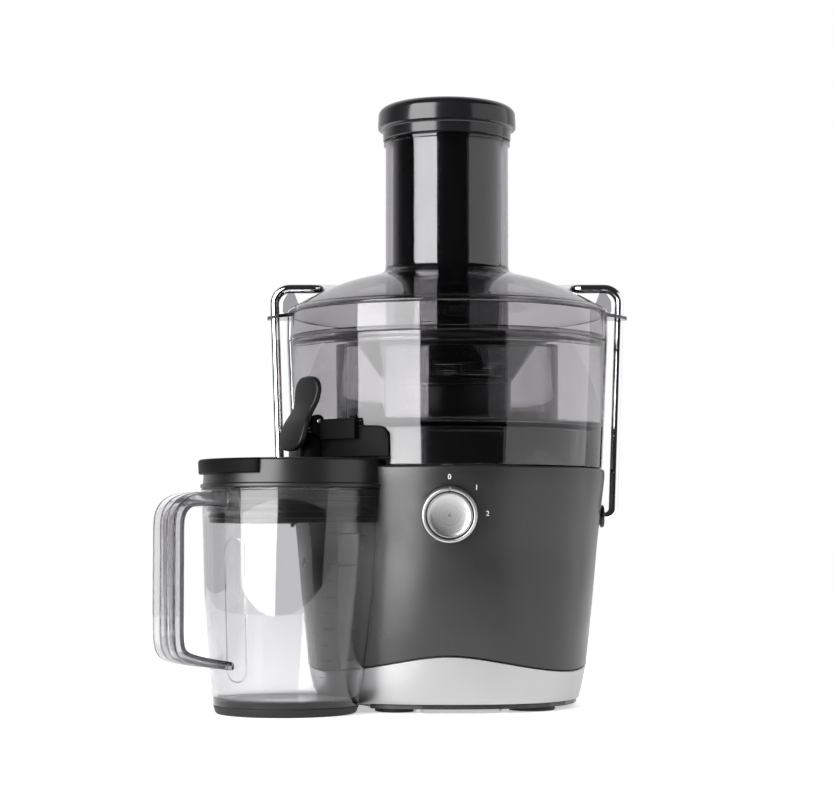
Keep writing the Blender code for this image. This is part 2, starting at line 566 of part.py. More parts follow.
def make_lever(body):
    """The drip stop: a bent paddle with rounded ends, on a barrel that turns on the spout's pin."""
    spine = ((109.6, 209.0), (109.8, 206.0), (110.2, 199.0), (111.8, 191.5), (115.0, 184.5), (118.4, 177.5),
             (121.2, 170.0), (122.6, 164.0), (123.0, 161.6))
    thickness, half_width, end, aside = 3.4, 13.4, 12.0, 1.5
    length = spine[0][1] - spine[-1][1]
    rings = []
    for i, (reach, z) in enumerate(spine):
        before, after = spine[max(i - 1, 0)], spine[min(i + 1, len(spine) - 1)]
        slope = Vector((after[0] - before[0], after[1] - before[1])).normalized()
        normal = Vector((-slope.y, slope.x)) * thickness / 2.0
        from_end = min(spine[0][1] - z, length - (spine[0][1] - z))
        width = half_width * math.sqrt(max(0.09, 1.0 - max(0.0, 1.0 - from_end / end) ** 2))
        corners = ((normal, -width), (normal, width), (-normal, width), (-normal, -width))
        rings.append([in_spout_frame(reach + n.x, aside + across, z + n.y) for n, across in corners])
    lever = piece("drip_lever", skin(rings), body, (DARK, 0.4))
    barrel = along(rod(3.7, -8.0, 8.0, 16), tuple(ACROSS), in_spout_frame(PIN_REACH, 0.0, PIN_Z))
    stem = ((109.6, 178.6), (117.6, 178.2), (115.6, 183.2), (109.6, 183.2))
    join(lever, piece("lever_barrel", barrel, body),
         piece("lever_stem", slab(stem, -6.0, 6.0, lambda a, b, c: in_spout_frame(a, c, b)), body))
    cut(lever, piece("lever_bore", along(rod(1.9, -12.0, 12.0), tuple(ACROSS),
                                         in_spout_frame(PIN_REACH, 0.0, PIN_Z)), body))


def jug_point(reach, across, z):
    """A point given from the jug's own axis: outwards towards the handle, sideways and up."""
    point = JUG_AXIS + OUTWARD * reach + ACROSS * across
    return (point.x, point.y, z)


def leaning(bm):
    """Shears a mesh made about the jug's upright axis, so that it leans towards the machine as it rises."""
    for vertex in bm.verts:
        vertex.co -= OUTWARD * (JUG_LEAN * vertex.co.z)
    return bm


def make_handle(body):
    """A bar of changing thickness from the jug's rim, out, down and back in near the foot."""
    spine = [(49.7, 131.0, 10.0), (62.0, 131.0, 10.0), (74.0, 130.0, 9.4), (81.0, 125.0, 8.0), (83.6, 116.0, 7.2),
             (83.6, 80.0, 7.0), (83.2, 46.0, 7.0), (80.8, 38.4, 6.4), (75.0, 35.0, 5.4), (60.0, 32.2, 4.8),
             (45.6, 30.4, 4.8)]
    rings = []
    for i, (reach, z, thickness) in enumerate(spine):
        before, after = spine[max(i - 1, 0)], spine[min(i + 1, len(spine) - 1)]
        slope = Vector((after[0] - before[0], after[1] - before[1])).normalized()
        normal = Vector((-slope.y, slope.x)) * thickness / 2.0
        half = HANDLE_WIDTH / 2.0
        corners = ((normal, -half), (normal, half), (-normal, half), (-normal, -half))
        rings.append([jug_point(reach + n.x, across, z + n.y) for n, across in corners])
    return piece("handle_bar", skin(rings), body)


def make_jug(body):
    centre = (JUG_AXIS.x, JUG_AXIS.y)
    inside = tuple((interpolate(JUG_RADII, z) - JUG_WALL, z) for z in (138.4, 75.0, 30.0, JUG_FLOOR))
    outside = tuple((r, z) for z, r in JUG_RADII if z > JUG_BOTTOM)
    profile = ((0.0, JUG_BOTTOM), (interpolate(JUG_RADII, JUG_BOTTOM), JUG_BOTTOM), *outside, *inside,
               (0.0, JUG_FLOOR))
    jug = piece("jug", leaning(turned(profile, FINE, centre)), body, (SMOKE, 0.08, 0.0, 0.4))
    join(jug, make_handle(body))
    pad = ((0.0, 0.0), (43.2, 0.0), (44.4, 1.2), (45.0, JUG_BOTTOM - 0.3), (0.0, JUG_BOTTOM - 0.3))
    piece("jug_base_pad", leaning(turned(pad, FINE, centre)), body, (RUBBER, 0.5))

    cover = ((0.0, 153.6), (50.4, 153.6), (50.4, 117.0), (52.6, 117.0), (52.6, 138.8), (58.5, 138.8), (58.5, 141.2),
             (57.0, 141.4), (57.0, 153.4), (54.6, JUG_LID_TOP), (0.0, JUG_LID_TOP))
    jug_lid = piece("jug_lid", leaning(turned(cover, FINE, centre)), body, (BLACK, 0.3))
    tab = sector(lambda share: ((55.0, 147.0), (60.2, 147.0), (60.8, 155.4), (60.0, JUG_LID_TOP - 0.1),
                                (55.0, JUG_LID_TOP - 0.1)), SPOUT_AZIMUTH, 35.0, 12, JUG_AXIS)
    join(jug_lid, piece("thumb_tab", leaning(tab), body))
    hole = in_spout_frame(NOZZLE_REACH + JUG_LEAN * JUG_LID_TOP, 0.0, 0.0)[:2]
    cut(jug_lid, piece("juice_hole", leaning(rod(11.0, 140.0, 170.0, MEDIUM, hole)), body))
    seal = ((53.0, 124.0), (54.0, 124.0), (54.0, 127.0), (53.0, 127.0))
    piece("jug_lid_seal", leaning(turned(seal, FINE, centre)), body, (RUBBER, 0.6))
    baffle = ((-38.0, 153.2), (38.0, 153.2), (36.0, 116.0), (18.0, 99.0), (-18.0, 99.0), (-36.0, 116.0))
    baffle = slab(baffle, -32.0, -30.2, lambda a, b, c: jug_point(c, a, b))
    piece("froth_separator", leaning(baffle), body, (SMOKE, 0.2, 0.0, 0.6))


def centre_on_origin(root):
    """Moves the machine so that the box round every piece is centred on the origin and stands on z = 0."""
    bpy.context.view_layer.update()
    depsgraph = bpy.context.evaluated_depsgraph_get()
    corners = []
    for made in bpy.data.objects:
        if made.type == "MESH" and not made.hide_render:
            solid = made.evaluated_get(depsgraph)
            corners += [made.matrix_world @ vertex.co for vertex in solid.data.vertices]
    low = [min(corner[i] for corner in corners) for i in range(3)]
    high = [max(corner[i] for corner in corners) for i in range(3)]
    root.location = (-(low[0] + high[0]) / 2.0, -(low[1] + high[1]) / 2.0, -low[2])


def main():
    remove_everything()
    root = body_frame("juicer_frame", (0.0, 0.0, 0.0))
    tilt = math.atan2(BASE_RADII[4][1] - BASE_RADII[3][1], BASE_RADII[4][0] - BASE_RADII[3][0])
    knob_out = Vector((0.0, -math.cos(tilt), -math.sin(tilt)))
    knob = body_frame("knob_axis", (0.0, -interpolate(BASE_RADII, KNOB_Z), KNOB_Z), knob_out, root)
    rotor = body_frame("rotor_axis", (0.0, 0.0, 160.0), None, root)
    arm = body_frame("arm_axis", (0.0, 0.0, PIVOT_Z), None, root)
    lever = body_frame("lever_axis", in_spout_frame(PIN_REACH, 0.0, PIN_Z), None, root)
    pusher = body_frame("pusher_axis", (0.0, 0.0, CHUTE_TOP), None, root)
    jug = body_frame("jug_axis", tuple(JUG_AXIS), None, root)

    make_base(root, knob)
    make_feet(root)
    make_base_screws(root)
    make_base_fittings(root)
    make_motor(root)
    make_electrics(root)
    make_tray(root)
    make_basin(root)
    make_lid(root)
    make_rotor(rotor)
    make_pusher(pusher)
    make_arm(arm)
    make_knob(knob)
    make_lever(lever)
    make_jug(jug)
    centre_on_origin(root)


main()
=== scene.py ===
"""The looks of the centrifugal juicer: fine meshes, materials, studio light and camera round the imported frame.

Shapes are given in millimetres from the machine's own axis, front towards -Y, and are put in place in metres.
"""

import json
import math

import bmesh
import bpy
from mathutils import Matrix, Vector


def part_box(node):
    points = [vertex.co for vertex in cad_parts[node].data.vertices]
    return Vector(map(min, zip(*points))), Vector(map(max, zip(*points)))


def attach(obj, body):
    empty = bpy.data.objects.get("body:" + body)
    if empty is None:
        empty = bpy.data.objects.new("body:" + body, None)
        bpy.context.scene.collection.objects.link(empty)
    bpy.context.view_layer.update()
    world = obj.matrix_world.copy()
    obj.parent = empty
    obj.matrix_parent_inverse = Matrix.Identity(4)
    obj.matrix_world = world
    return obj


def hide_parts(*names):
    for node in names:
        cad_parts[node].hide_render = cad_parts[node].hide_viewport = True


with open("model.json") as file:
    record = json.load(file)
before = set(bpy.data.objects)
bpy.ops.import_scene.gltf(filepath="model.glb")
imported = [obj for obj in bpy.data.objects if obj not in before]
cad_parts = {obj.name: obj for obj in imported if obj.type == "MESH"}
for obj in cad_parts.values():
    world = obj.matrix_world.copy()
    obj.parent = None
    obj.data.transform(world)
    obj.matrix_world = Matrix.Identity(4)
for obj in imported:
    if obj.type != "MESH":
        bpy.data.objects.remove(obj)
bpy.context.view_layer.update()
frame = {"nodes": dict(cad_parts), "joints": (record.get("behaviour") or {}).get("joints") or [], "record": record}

MM = 0.001
JOINTS = {joint["name"]: joint for joint in frame["joints"]}
NODES = frame["nodes"]
AXIS = Vector((JOINTS["drive_spin"]["pos_m"][0], JOINTS["drive_spin"]["pos_m"][1], 0.0))
OUTWARD = Vector(JOINTS["jug_slide"]["axis"]).normalized()  # level, from the machine to the jug
ACROSS = Vector((-OUTWARD.y, OUTWARD.x, 0.0))


def from_axis(point):
    """A world point in metres, as millimetres from the machine's axis."""
    return (Vector(point) - AXIS) / MM


JUG_AXIS = Vector((-101.0, -73.0, 0.0))     # where the jug stands
JUG_REACH = JUG_AXIS.length
KNOB = from_axis(JOINTS["knob_turn"]["pos_m"])
KNOB_OUT = -Vector(JOINTS["knob_turn"]["axis"]).normalized()
PIVOT_Z = from_axis(JOINTS["arm_swing"]["pos_m"]).z
PIN = from_axis(JOINTS["lever_tilt"]["pos_m"])

# ---- sizes read from the frame, in millimetres ----
BASE_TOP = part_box("base_housing")[1].z / MM
TRAY_LOW, TRAY_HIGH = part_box("juice_tray")[0].z / MM, 175.8
BASIN_FLOOR = TRAY_HIGH + 0.4
BASIN_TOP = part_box("pulp_basin")[1].z / MM
LID_SEAM = BASIN_TOP + 0.3
CHUTE_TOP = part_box("lid")[1].z / MM
CAP_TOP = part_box("pusher_cap")[1].z / MM
JUG_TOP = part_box("jug")[1].z / MM
JUG_LID_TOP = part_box("jug_lid")[1].z / MM
PUSHER_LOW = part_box("pusher_body")[0].z / MM

BASE_WALL = 2.6
BASE_RADII = ((5.0, 85.0), (27.0, 89.8), (67.0, 94.4), (107.0, 98.3), (146.0, 103.0), (150.6, 102.9))
BASE_SQUARENESS, BASE_ROUND_FROM = 0.5, 100.0
WAVE_HEIGHT, WAVE_DEPTH = 30.0, 5.4
RECESS = ((52.0, -5.0), (52.0, 24.0), (54.6, 38.0), (59.0, 50.0), (63.5, 75.0), (68.4, 152.0), (69.0, 160.0))
SPOUT_AZIMUTH = math.degrees(math.atan2(JUG_AXIS.x, -JUG_AXIS.y))
SPOUT_HALF_ANGLE, SPOUT_TOP = 33.0, 177.0
NOZZLE_REACH = 106.0
JUG_LEAN = 0.042            # of its height, towards the machine
JUG_BOTTOM, JUG_WALL = 5.3, 2.4
CHUTE_OUTER, CHUTE_INNER = 40.6, 38.1
WIRE_RADIUS = 3.0
WIRE_RISE = 8.0             # of the bow behind the chute above the wire's straight ends
WIRE_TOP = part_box("locking_arm")[1].z / MM - WIRE_RISE - WIRE_RADIUS
ROUND = 144                 # sides of large round pieces
SMALL_ROUND = 64


# ================================================================ materials

def shader_of(name):
    made = bpy.data.materials.new(name)
    made.use_nodes = True
    return made, made.node_tree.nodes, made.node_tree.links, made.node_tree.nodes["Principled BSDF"]


def set_up(shader, **values):
    for key, value in values.items():
        shader.inputs[key.replace("_", " ")].default_value = value


def noise(nodes, links, scale, detail=2.0, coordinates=None):
    source = nodes.new("ShaderNodeTexNoise")
    source.inputs["Scale"].default_value = scale
    source.inputs["Detail"].default_value = detail
    if coordinates is None:
        coordinates = nodes.new("ShaderNodeTexCoord").outputs["Object"]
    links.new(coordinates, source.inputs["Vector"])
    return source.outputs["Fac"]


def mapped(nodes, links, value, low, high, start=0.3, stop=0.7):
    """A value between start and stop spread over low to high."""
    spread = nodes.new("ShaderNodeMapRange")
    for name, number in (("From Min", start), ("From Max", stop), ("To Min", low), ("To Max", high)):
        spread.inputs[name].default_value = number
    links.new(value, spread.inputs["Value"])
    return spread.outputs["Result"]


def maths(nodes, links, operation, *values):
    """A Math node. Each value is a number or another node's output."""
    node = nodes.new("ShaderNodeMath")
    node.operation = operation
    for socket, value in zip(node.inputs, values):
        if isinstance(value, float):
            socket.default_value = value
        else:
            links.new(value, socket)
    return node.outputs["Value"]


def bump(nodes, links, height, strength, distance):
    node = nodes.new("ShaderNodeBump")
    node.inputs["Strength"].default_value = strength
    node.inputs["Distance"].default_value = distance
    links.new(height, node.inputs["Height"])
    return node.outputs["Normal"]


def tinted(nodes, links, value, dark, light):
    mix = nodes.new("ShaderNodeMix")
    mix.data_type = "RGBA"
    mix.inputs["A"].default_value = (*dark, 1.0)
    mix.inputs["B"].default_value = (*light, 1.0)
    links.new(value, mix.inputs["Factor"])
    return mix.outputs["Result"]


def moulded(name, colour, roughness, grain=0.0, spread=0.03, specular=0.5):
    """Opaque moulded plastic: slight change of tone and gloss, and a fine moulded grain where it has one."""
    made, nodes, links, shader = shader_of(name)
    set_up(shader, Roughness=roughness, IOR=1.5, Specular_IOR_Level=specular)
    cloud = noise(nodes, links, 18.0, 3.0)
    darker = tuple(c * 0.92 for c in colour)
    lighter = tuple(min(1.0, c * 1.08) for c in colour)
    links.new(tinted(nodes, links, mapped(nodes, links, cloud, 0.0, 1.0), darker, lighter),
              shader.inputs["Base Color"])
    links.new(mapped(nodes, links, noise(nodes, links, 60.0, 4.0), roughness - spread, roughness + spread),
              shader.inputs["Roughness"])
    if grain:
        links.new(bump(nodes, links, noise(nodes, links, 2600.0, 1.0), grain, 0.06 * MM),
                  shader.inputs["Normal"])
    return made


def clear_plastic(name, colour, wall, roughness=0.012):
    """Smoke-tinted clear plastic that lets through this share of red, green and blue over this wall in metres.

    Each piece is a closed shell filled with the tint, so thick bars and edge-on walls look darker than thin walls.
    """
    made, nodes, links, shader = shader_of(name)
    set_up(shader, Base_Color=(1.0, 1.0, 1.0, 1.0), Roughness=roughness, IOR=1.49, Transmission_Weight=1.0)
    links.new(mapped(nodes, links, noise(nodes, links, 45.0, 3.0), roughness * 0.4, roughness * 1.6),
              shader.inputs["Roughness"])
    links.new(bump(nodes, links, noise(nodes, links, 22.0, 1.0), 0.04, 0.0004), shader.inputs["Normal"])
    losses = [-math.log(share) / wall for share in colour]
    density = max(losses) * 1.25
    tint = nodes.new("ShaderNodeVolumeAbsorption")
    tint.inputs["Color"].default_value = (*(1.0 - loss / density for loss in losses), 1.0)
    tint.inputs["Density"].default_value = density
    output = next(node for node in nodes if node.type == "OUTPUT_MATERIAL")
    links.new(tint.outputs["Volume"], output.inputs["Volume"])
    return made


def metal(name, colour, roughness, spread=0.05, grain=None, anisotropic=0.0):
    """Bare or plated metal; grain is a stretch of the noise along X, Y and Z that draws brushing."""
    made, nodes, links, shader = shader_of(name)
    set_up(shader, Base_Color=(*colour, 1.0), Metallic=1.0, Anisotropic=anisotropic)
    coordinates = nodes.new("ShaderNodeTexCoord").outputs["Object"]
    if grain:
        mapping = nodes.new("ShaderNodeMapping")
        mapping.inputs["Scale"].default_value = grain
        links.new(coordinates, mapping.inputs["Vector"])
        coordinates = mapping.outputs["Vector"]
    lines = noise(nodes, links, 90.0, 4.0, coordinates)
    links.new(mapped(nodes, links, lines, max(0.02, roughness - spread), roughness + spread),
              shader.inputs["Roughness"])
    links.new(bump(nodes, links, lines, 0.12 if grain else 0.03, 0.00005), shader.inputs["Normal"])
    return made


def round_brushed(name, colour, roughness, centre):
    """Metal brushed in circles about the knob's axis, by rings of noise of the distance from it."""
    made, nodes, links, shader = shader_of(name)
    set_up(shader, Base_Color=(*colour, 1.0), Metallic=1.0)
    coordinates = nodes.new("ShaderNodeTexCoord").outputs["Object"]
    offset = nodes.new("ShaderNodeVectorMath")
    offset.operation = "DISTANCE"
    offset.inputs[1].default_value = centre
    links.new(coordinates, offset.inputs[0])
    rings = nodes.new("ShaderNodeTexNoise")
    rings.noise_dimensions = "1D"
    rings.inputs["Scale"].default_value = 5200.0
    rings.inputs["Detail"].default_value = 3.0
    links.new(offset.outputs["Value"], rings.inputs["W"])
    links.new(mapped(nodes, links, rings.outputs["Fac"], roughness - 0.08, roughness + 0.1),
              shader.inputs["Roughness"])
    links.new(bump(nodes, links, rings.outputs["Fac"], 0.22, 0.00004), shader.inputs["Normal"])
    return made


def perforated(name, colour, pitch):
    """Steel sheet with rows of tiny round holes, on a grid of direction and height about the machine's axis."""
    made, nodes, links, shader = shader_of(name)
    set_up(shader, Metallic=1.0, Roughness=0.22)
    coordinates = nodes.new("ShaderNodeTexCoord").outputs["Object"]
    shifted = nodes.new("ShaderNodeVectorMath")
    shifted.operation = "SUBTRACT"
    shifted.inputs[1].default_value = AXIS
    links.new(coordinates, shifted.inputs[0])
    split = nodes.new("ShaderNodeSeparateXYZ")
    links.new(shifted.outputs["Vector"], split.inputs["Vector"])

    half_turns = round(math.tau * 55.0 / pitch) / 2.0
    angle = maths(nodes, links, "ARCTAN2", split.outputs["Y"], split.outputs["X"])
    around = maths(nodes, links, "SINE", maths(nodes, links, "MULTIPLY", angle, half_turns))
    up = maths(nodes, links, "SINE", maths(nodes, links, "MULTIPLY", split.outputs["Z"], math.pi / (pitch * MM)))
    dots = maths(nodes, links, "MULTIPLY", maths(nodes, links, "ABSOLUTE", around),
                 maths(nodes, links, "ABSOLUTE", up))
    holes = mapped(nodes, links, dots, 0.0, 1.0, 0.45, 0.62)
    links.new(tinted(nodes, links, mapped(nodes, links, noise(nodes, links, 30.0), 0.0, 1.0),
                     tuple(c * 0.85 for c in colour), colour), shader.inputs["Base Color"])
    links.new(maths(nodes, links, "SUBTRACT", 1.0, holes), shader.inputs["Alpha"])
    return made


MATERIALS = {
    "grey_plastic": moulded("grey_plastic_look", (0.012, 0.012, 0.0125), 0.30, grain=0.12),
    "silver_plastic": metal("silver_paint_look", (0.40, 0.40, 0.405), 0.34, 0.04),
    "black_satin": moulded("black_satin_look", (0.006, 0.006, 0.0065), 0.30, grain=0.08),
    "black_gloss": moulded("black_gloss_look", (0.006, 0.006, 0.007), 0.17, spread=0.02),
    "smoke_clear": clear_plastic("smoke_clear_look", (0.655, 0.645, 0.66), 0.0026),
    "chrome_wire": metal("chrome_look", (0.86, 0.86, 0.87), 0.06, 0.02),
    "stainless": metal("stainless_look", (0.62, 0.62, 0.63), 0.30, 0.06, grain=(1.0, 1.0, 14.0)),
    "knob_metal": round_brushed("knob_look", (0.42, 0.42, 0.425), 0.32, AXIS + KNOB * MM),
    "rubber_black": moulded("rubber_look", (0.006, 0.006, 0.006), 0.6, grain=0.3, specular=0.35),
    "motor_steel": metal("motor_steel_look", (0.40, 0.40, 0.41), 0.42, 0.08),
    "copper": metal("copper_look", (0.62, 0.30, 0.16), 0.32, 0.08),
    "brush_brass": metal("brass_look", (0.50, 0.36, 0.14), 0.34, 0.08),
    "board_green": moulded("board_look", (0.03, 0.16, 0.07), 0.45),
}
JUG_CLEAR = clear_plastic("jug_clear_look", (0.78, 0.775, 0.785), 0.0024)
MESH_STEEL = perforated("sieve_mesh_look", (0.42, 0.42, 0.43), 1.3)
# Near-black gloss given to the faces of the jug's recess, much darker than the grey housing round them.
RECESS_BLACK = moulded("recess_look", (0.004, 0.004, 0.0045), 0.16, spread=0.02, specular=0.2)
SPOUT_BLACK = moulded("spout_look", (0.003, 0.003, 0.003), 0.48, grain=0.1, specular=0.05)
LEVER_BLACK = moulded("lever_look", (0.006, 0.006, 0.0065), 0.34, grain=0.08, specular=0.24)
PRINT = moulded("dial_print_look", (0.62, 0.62, 0.62), 0.5)
MARKS = moulded("graduation_look", (0.03, 0.03, 0.032), 0.5)


# ================================================================ mesh helpers

def skin(rings, closed=False):
    """Joins rings of points into a surface, with its open ends capped."""
    bm = bmesh.new()
    rows = [[bm.verts.new(point) for point in ring] for ring in rings]
    count = len(rows[0])
    pairs = list(zip(rows, rows[1:])) + ([(rows[-1], rows[0])] if closed else [])
    for near, far in pairs:
        for i in range(count):
            j = (i + 1) % count
            bm.faces.new((near[i], near[j], far[j], far[i]))
    if not closed:
        bm.faces.new(rows[0])
        bm.faces.new(rows[-1])
    return bm


def rounded(corners, steps=4):
    """A closed outline of (a, b) or (a, b, radius) corners, with arcs where a radius is given."""
    outline = []
    count = len(corners)
    for i, corner in enumerate(corners):
        here = Vector(corner[:2])
        radius = corner[2] if len(corner) > 2 else 0.0
        before = Vector(corners[i - 1][:2]) - here
        after = Vector(corners[(i + 1) % count][:2]) - here
        if radius <= 0.0 or before.length < 1e-6 or after.length < 1e-6:
            outline.append(tuple(here))
            continue
        half = before.angle(after) / 2.0
        if half > math.pi / 2.0 - 0.03:
            outline.append(tuple(here))
            continue
        reach = min(radius / math.tan(half), before.length * 0.49, after.length * 0.49)
        radius = reach * math.tan(half)
        before.normalize()
        after.normalize()
        centre = here + (before + after).normalized() * (radius / math.sin(half))
        start = here + before * reach - centre
        turn = start.angle_signed(here + after * reach - centre)
        for k in range(steps + 1):
            angle = -turn * k / steps
            outline.append((centre.x + start.x * math.cos(angle) - start.y * math.sin(angle),
                            centre.y + start.x * math.sin(angle) + start.y * math.cos(angle)))
    return outline


def turned(profile, sides=ROUND, centre=(0.0, 0.0)):
    """A closed (radius, z) outline turned about an upright axis."""
    rings = []
    for i in range(sides):
        angle = math.tau * (i + 0.5) / sides
        cosine, sine = math.cos(angle), math.sin(angle)
        rings.append([(centre[0] + r * cosine, centre[1] + r * sine, z) for r, z in profile])
    return skin(rings, closed=True)


def smooth_through(points, steps):
    """A Catmull-Rom curve through points of any dimension, ends included."""
    out = []
    for i in range(len(points) - 1):
        a, b, c, d = (Vector(points[max(0, min(len(points) - 1, i + k))]) for k in (-1, 0, 1, 2))
        for k in range(steps):
            t = k / steps
            out.append(tuple(0.5 * (2.0 * b + (c - a) * t + (2.0 * a - 5.0 * b + 4.0 * c - d) * t ** 2
                                    + (3.0 * b - a - 3.0 * c + d) * t ** 3)))
    out.append(tuple(points[-1]))
    return out


def along(bm, axis, origin):
    turn = Vector(axis).to_track_quat("Z", "Y").to_matrix().to_4x4()
    bm.transform(Matrix.Translation(Vector(origin)) @ turn)
    return bm


def rod(radius, low, high, sides=SMALL_ROUND, centre=(0.0, 0.0), edge=0.0):
    return turned(rounded(((0.0, low), (radius, low, edge), (radius, high, edge), (0.0, high))), sides, centre)


def slab(outline, low, high, place=lambda a, b, c: (a, b, c)):
    return skin([[place(a, b, c) for a, b in outline] for c in (low, high)])


def in_spout_frame(reach, across, z):
    point = OUTWARD * reach + ACROSS * across
    return (point.x, point.y, z)


def upright(reach, z, across):
    """in_spout_frame with its values in the order of a slab's outline and thickness."""
    return in_spout_frame(reach, across, z)


def jug_point(reach, across, z):
    return in_spout_frame(JUG_REACH + reach, across, z)


def at_azimuth(radius, degrees, z):
    angle = math.radians(degrees)
    return (radius * math.sin(angle), -radius * math.cos(angle), z)


def sector(section, middle, half_angle, steps, about=(0.0, 0.0)):
    """Sections of (radius, z) points carried round an upright axis; section is a function of -1 to 1."""
    rings = []
    for i in range(steps + 1):
        share = -math.cos(math.pi * i / steps)
        ring = [at_azimuth(r, middle + share * half_angle, z) for r, z in section(share)]
        rings.append([(x + about[0], y + about[1], z) for x, y, z in ring])
    bm = skin(rings)
    bmesh.ops.triangulate(bm, faces=bm.faces)
    return bm


def tube(points, radius, sides, closed=False):
    """A round rod along a path, with its section carried along without twist."""
    rings = []
    side = None
    points = [Vector(point) for point in points]
    for i, point in enumerate(points):
        ahead = (points[min(i + 1, len(points) - 1)] - points[max(i - 1, 0)]).normalized()
        side = ahead.orthogonal() if side is None else side
        side = (side - ahead * side.dot(ahead)).normalized()
        other = ahead.cross(side)
        turns = [math.tau * k / sides for k in range(sides)]
        rings.append([tuple(point + (side * math.cos(a) + other * math.sin(a)) * radius) for a in turns])
    return skin(rings, closed)


def swept(spine, section_at):
    """A section of (across, thickness) points carried along an upright (reach, z) spine in the jug's plane."""
    rings = []
    for i, (reach, z) in enumerate(spine):
        before, after = spine[max(i - 1, 0)], spine[min(i + 1, len(spine) - 1)]
        slope = Vector((after[0] - before[0], after[1] - before[1])).normalized()
        normal = Vector((-slope.y, slope.x))
        rings.append([in_spout_frame(reach + normal.x * n, across, z + normal.y * n)
                      for across, n in section_at(i / (len(spine) - 1))])
    return skin(rings)


def to_object(name, bm):
    bmesh.ops.remove_doubles(bm, verts=bm.verts, dist=1e-4)
    loose = [edge for edge in bm.edges if not edge.link_faces]
    bmesh.ops.delete(bm, geom=loose, context="EDGES")
    bmesh.ops.recalc_face_normals(bm, faces=bm.faces)
    mesh = bpy.data.meshes.new(name)
    bm.transform(Matrix.Translation(AXIS) @ Matrix.Scale(MM, 4))
    bm.to_mesh(mesh)
    bm.free()
    made = bpy.data.objects.new(name, mesh)
    bpy.context.scene.collection.objects.link(made)
    return made


def applied(made):
    """Replaces an object's mesh by what its modifiers make of it."""
    bpy.context.view_layer.update()
    depsgraph = bpy.context.evaluated_depsgraph_get()
    mesh = bpy.data.meshes.new_from_object(made.evaluated_get(depsgraph))
    made.modifiers.clear()
    made.data = mesh
    return made


def merged(mesh):
    """Joins points that lie on each other, such as those a Boolean or a text leaves along an edge."""
    bm = bmesh.new()
    bm.from_mesh(mesh)
    bmesh.ops.remove_doubles(bm, verts=bm.verts, dist=0.003 * MM)
    bmesh.ops.dissolve_degenerate(bm, edges=bm.edges, dist=0.001 * MM)
    bm.to_mesh(mesh)
    bm.free()


def combined(made, changes):
    """Applies exact Booleans, given as (operation, bmesh or object) pairs, and removes the tools."""
    tools = []
    for i, (operation, tool) in enumerate(changes):
        if not isinstance(tool, bpy.types.Object):
            tool = to_object(f"{made.name}_tool_{i}", tool)
        change = made.modifiers.new(f"change_{i}", "BOOLEAN")
        change.operation = operation
        change.solver = "EXACT"
        change.object = tool
        tools.append(tool)
    applied(made)
    for tool in tools:
        bpy.data.objects.remove(tool)
    merged(made.data)
    return made


def dress(made, body, slot, replaced=(), material=None, smooth=32.0):
    made.data.materials.clear()
    made.data.materials.append(material or MATERIALS[slot])
    made.data.shade_smooth()
    made.data.set_sharp_from_angle(angle=math.radians(smooth))
    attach(made, body)
    if replaced:
        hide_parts(*replaced)
    return made


def new_piece(name, bm, body, slot, replaced=(), material=None, smooth=32.0):
    return dress(to_object(name, bm), body, slot, replaced, material, smooth)


def repaint(made, material, chosen):
    """Gives faces a second material. The test takes a face's centre, in millimetres, and its normal."""
    made.data.materials.append(material)
    for polygon in made.data.polygons:
        if chosen(from_axis(polygon.center), polygon.normal):
            polygon.material_index = len(made.data.materials) - 1


# ================================================================ base

def base_radius(z):
    """The wall's radius at a height, on a smooth curve through the driving radii."""
    curve = smooth_through(BASE_RADII, 10)
    for (za, ra), (zb, rb) in zip(curve, curve[1:]):
        if z <= zb:
            return ra + (rb - ra) * (z - za) / (zb - za)
    return curve[-1][1]


def base_outline(z, inset=0.0, height=None, turn=0.0, radius=None):
    radius = (radius or base_radius(z)) - inset
    power = 2.0 + BASE_SQUARENESS * max(0.0, 1.0 - z / BASE_ROUND_FROM)
    ring = []
    for i in range(ROUND):
        angle = math.tau * (i + turn) / ROUND
        squared = (abs(math.cos(angle)) ** power + abs(math.sin(angle)) ** power) ** (-1.0 / power)
        x, y = radius * squared * math.cos(angle), radius * squared * math.sin(angle)
        ring.append((x, y, height(x, y) if height else z))
    return ring


def wave(x, y):
    """Height of the wavy line between housing and skirt, by direction from the axis."""
    azimuth = abs(math.degrees(math.atan2(x, -y)))
    lag = 66.0 * math.sin(math.radians(azimuth)) ** 2
    return WAVE_HEIGHT + WAVE_DEPTH * math.cos(math.radians(4.0 * azimuth - lag))


def seam_rings(offset, bevel):
    """Rings from the middle of the wavy seam out to the wall, level along each radius, with a small edge."""
    edge = base_outline(WAVE_HEIGHT, 0.0, lambda x, y: wave(x, y) + offset + math.copysign(bevel, offset))
    lip = base_outline(WAVE_HEIGHT, bevel, lambda x, y: wave(x, y) + offset)
    inner = [(x * 0.25, y * 0.25, z) for x, y, z in lip]
    tip = [(0.0, 0.0, WAVE_HEIGHT)] * ROUND
    return [tip, inner, lip, edge]


def recess(grow=0.0, high=None):
    """The space where the jug stands, widening upwards in a smooth curve."""
    outline = [(r + grow, z) for r, z in smooth_through(RECESS, 5)]
    if high is not None:
        outline = [(r, z) for r, z in outline if z < high] + [(RECESS[-2][0] + grow, high)]
    profile = [(0.0, outline[0][1]), *outline, (0.0, outline[-1][1])]
    return turned(profile, ROUND, (JUG_AXIS.x, JUG_AXIS.y))


def on_recess(centre, normal):
    """Whether a face is part of the wall that the jug stands against."""
    inwards = Vector((JUG_AXIS.x - centre.x, JUG_AXIS.y - centre.y, 0.0))
    return inwards.length < 71.0 and normal.dot(inwards.normalized()) > 0.8


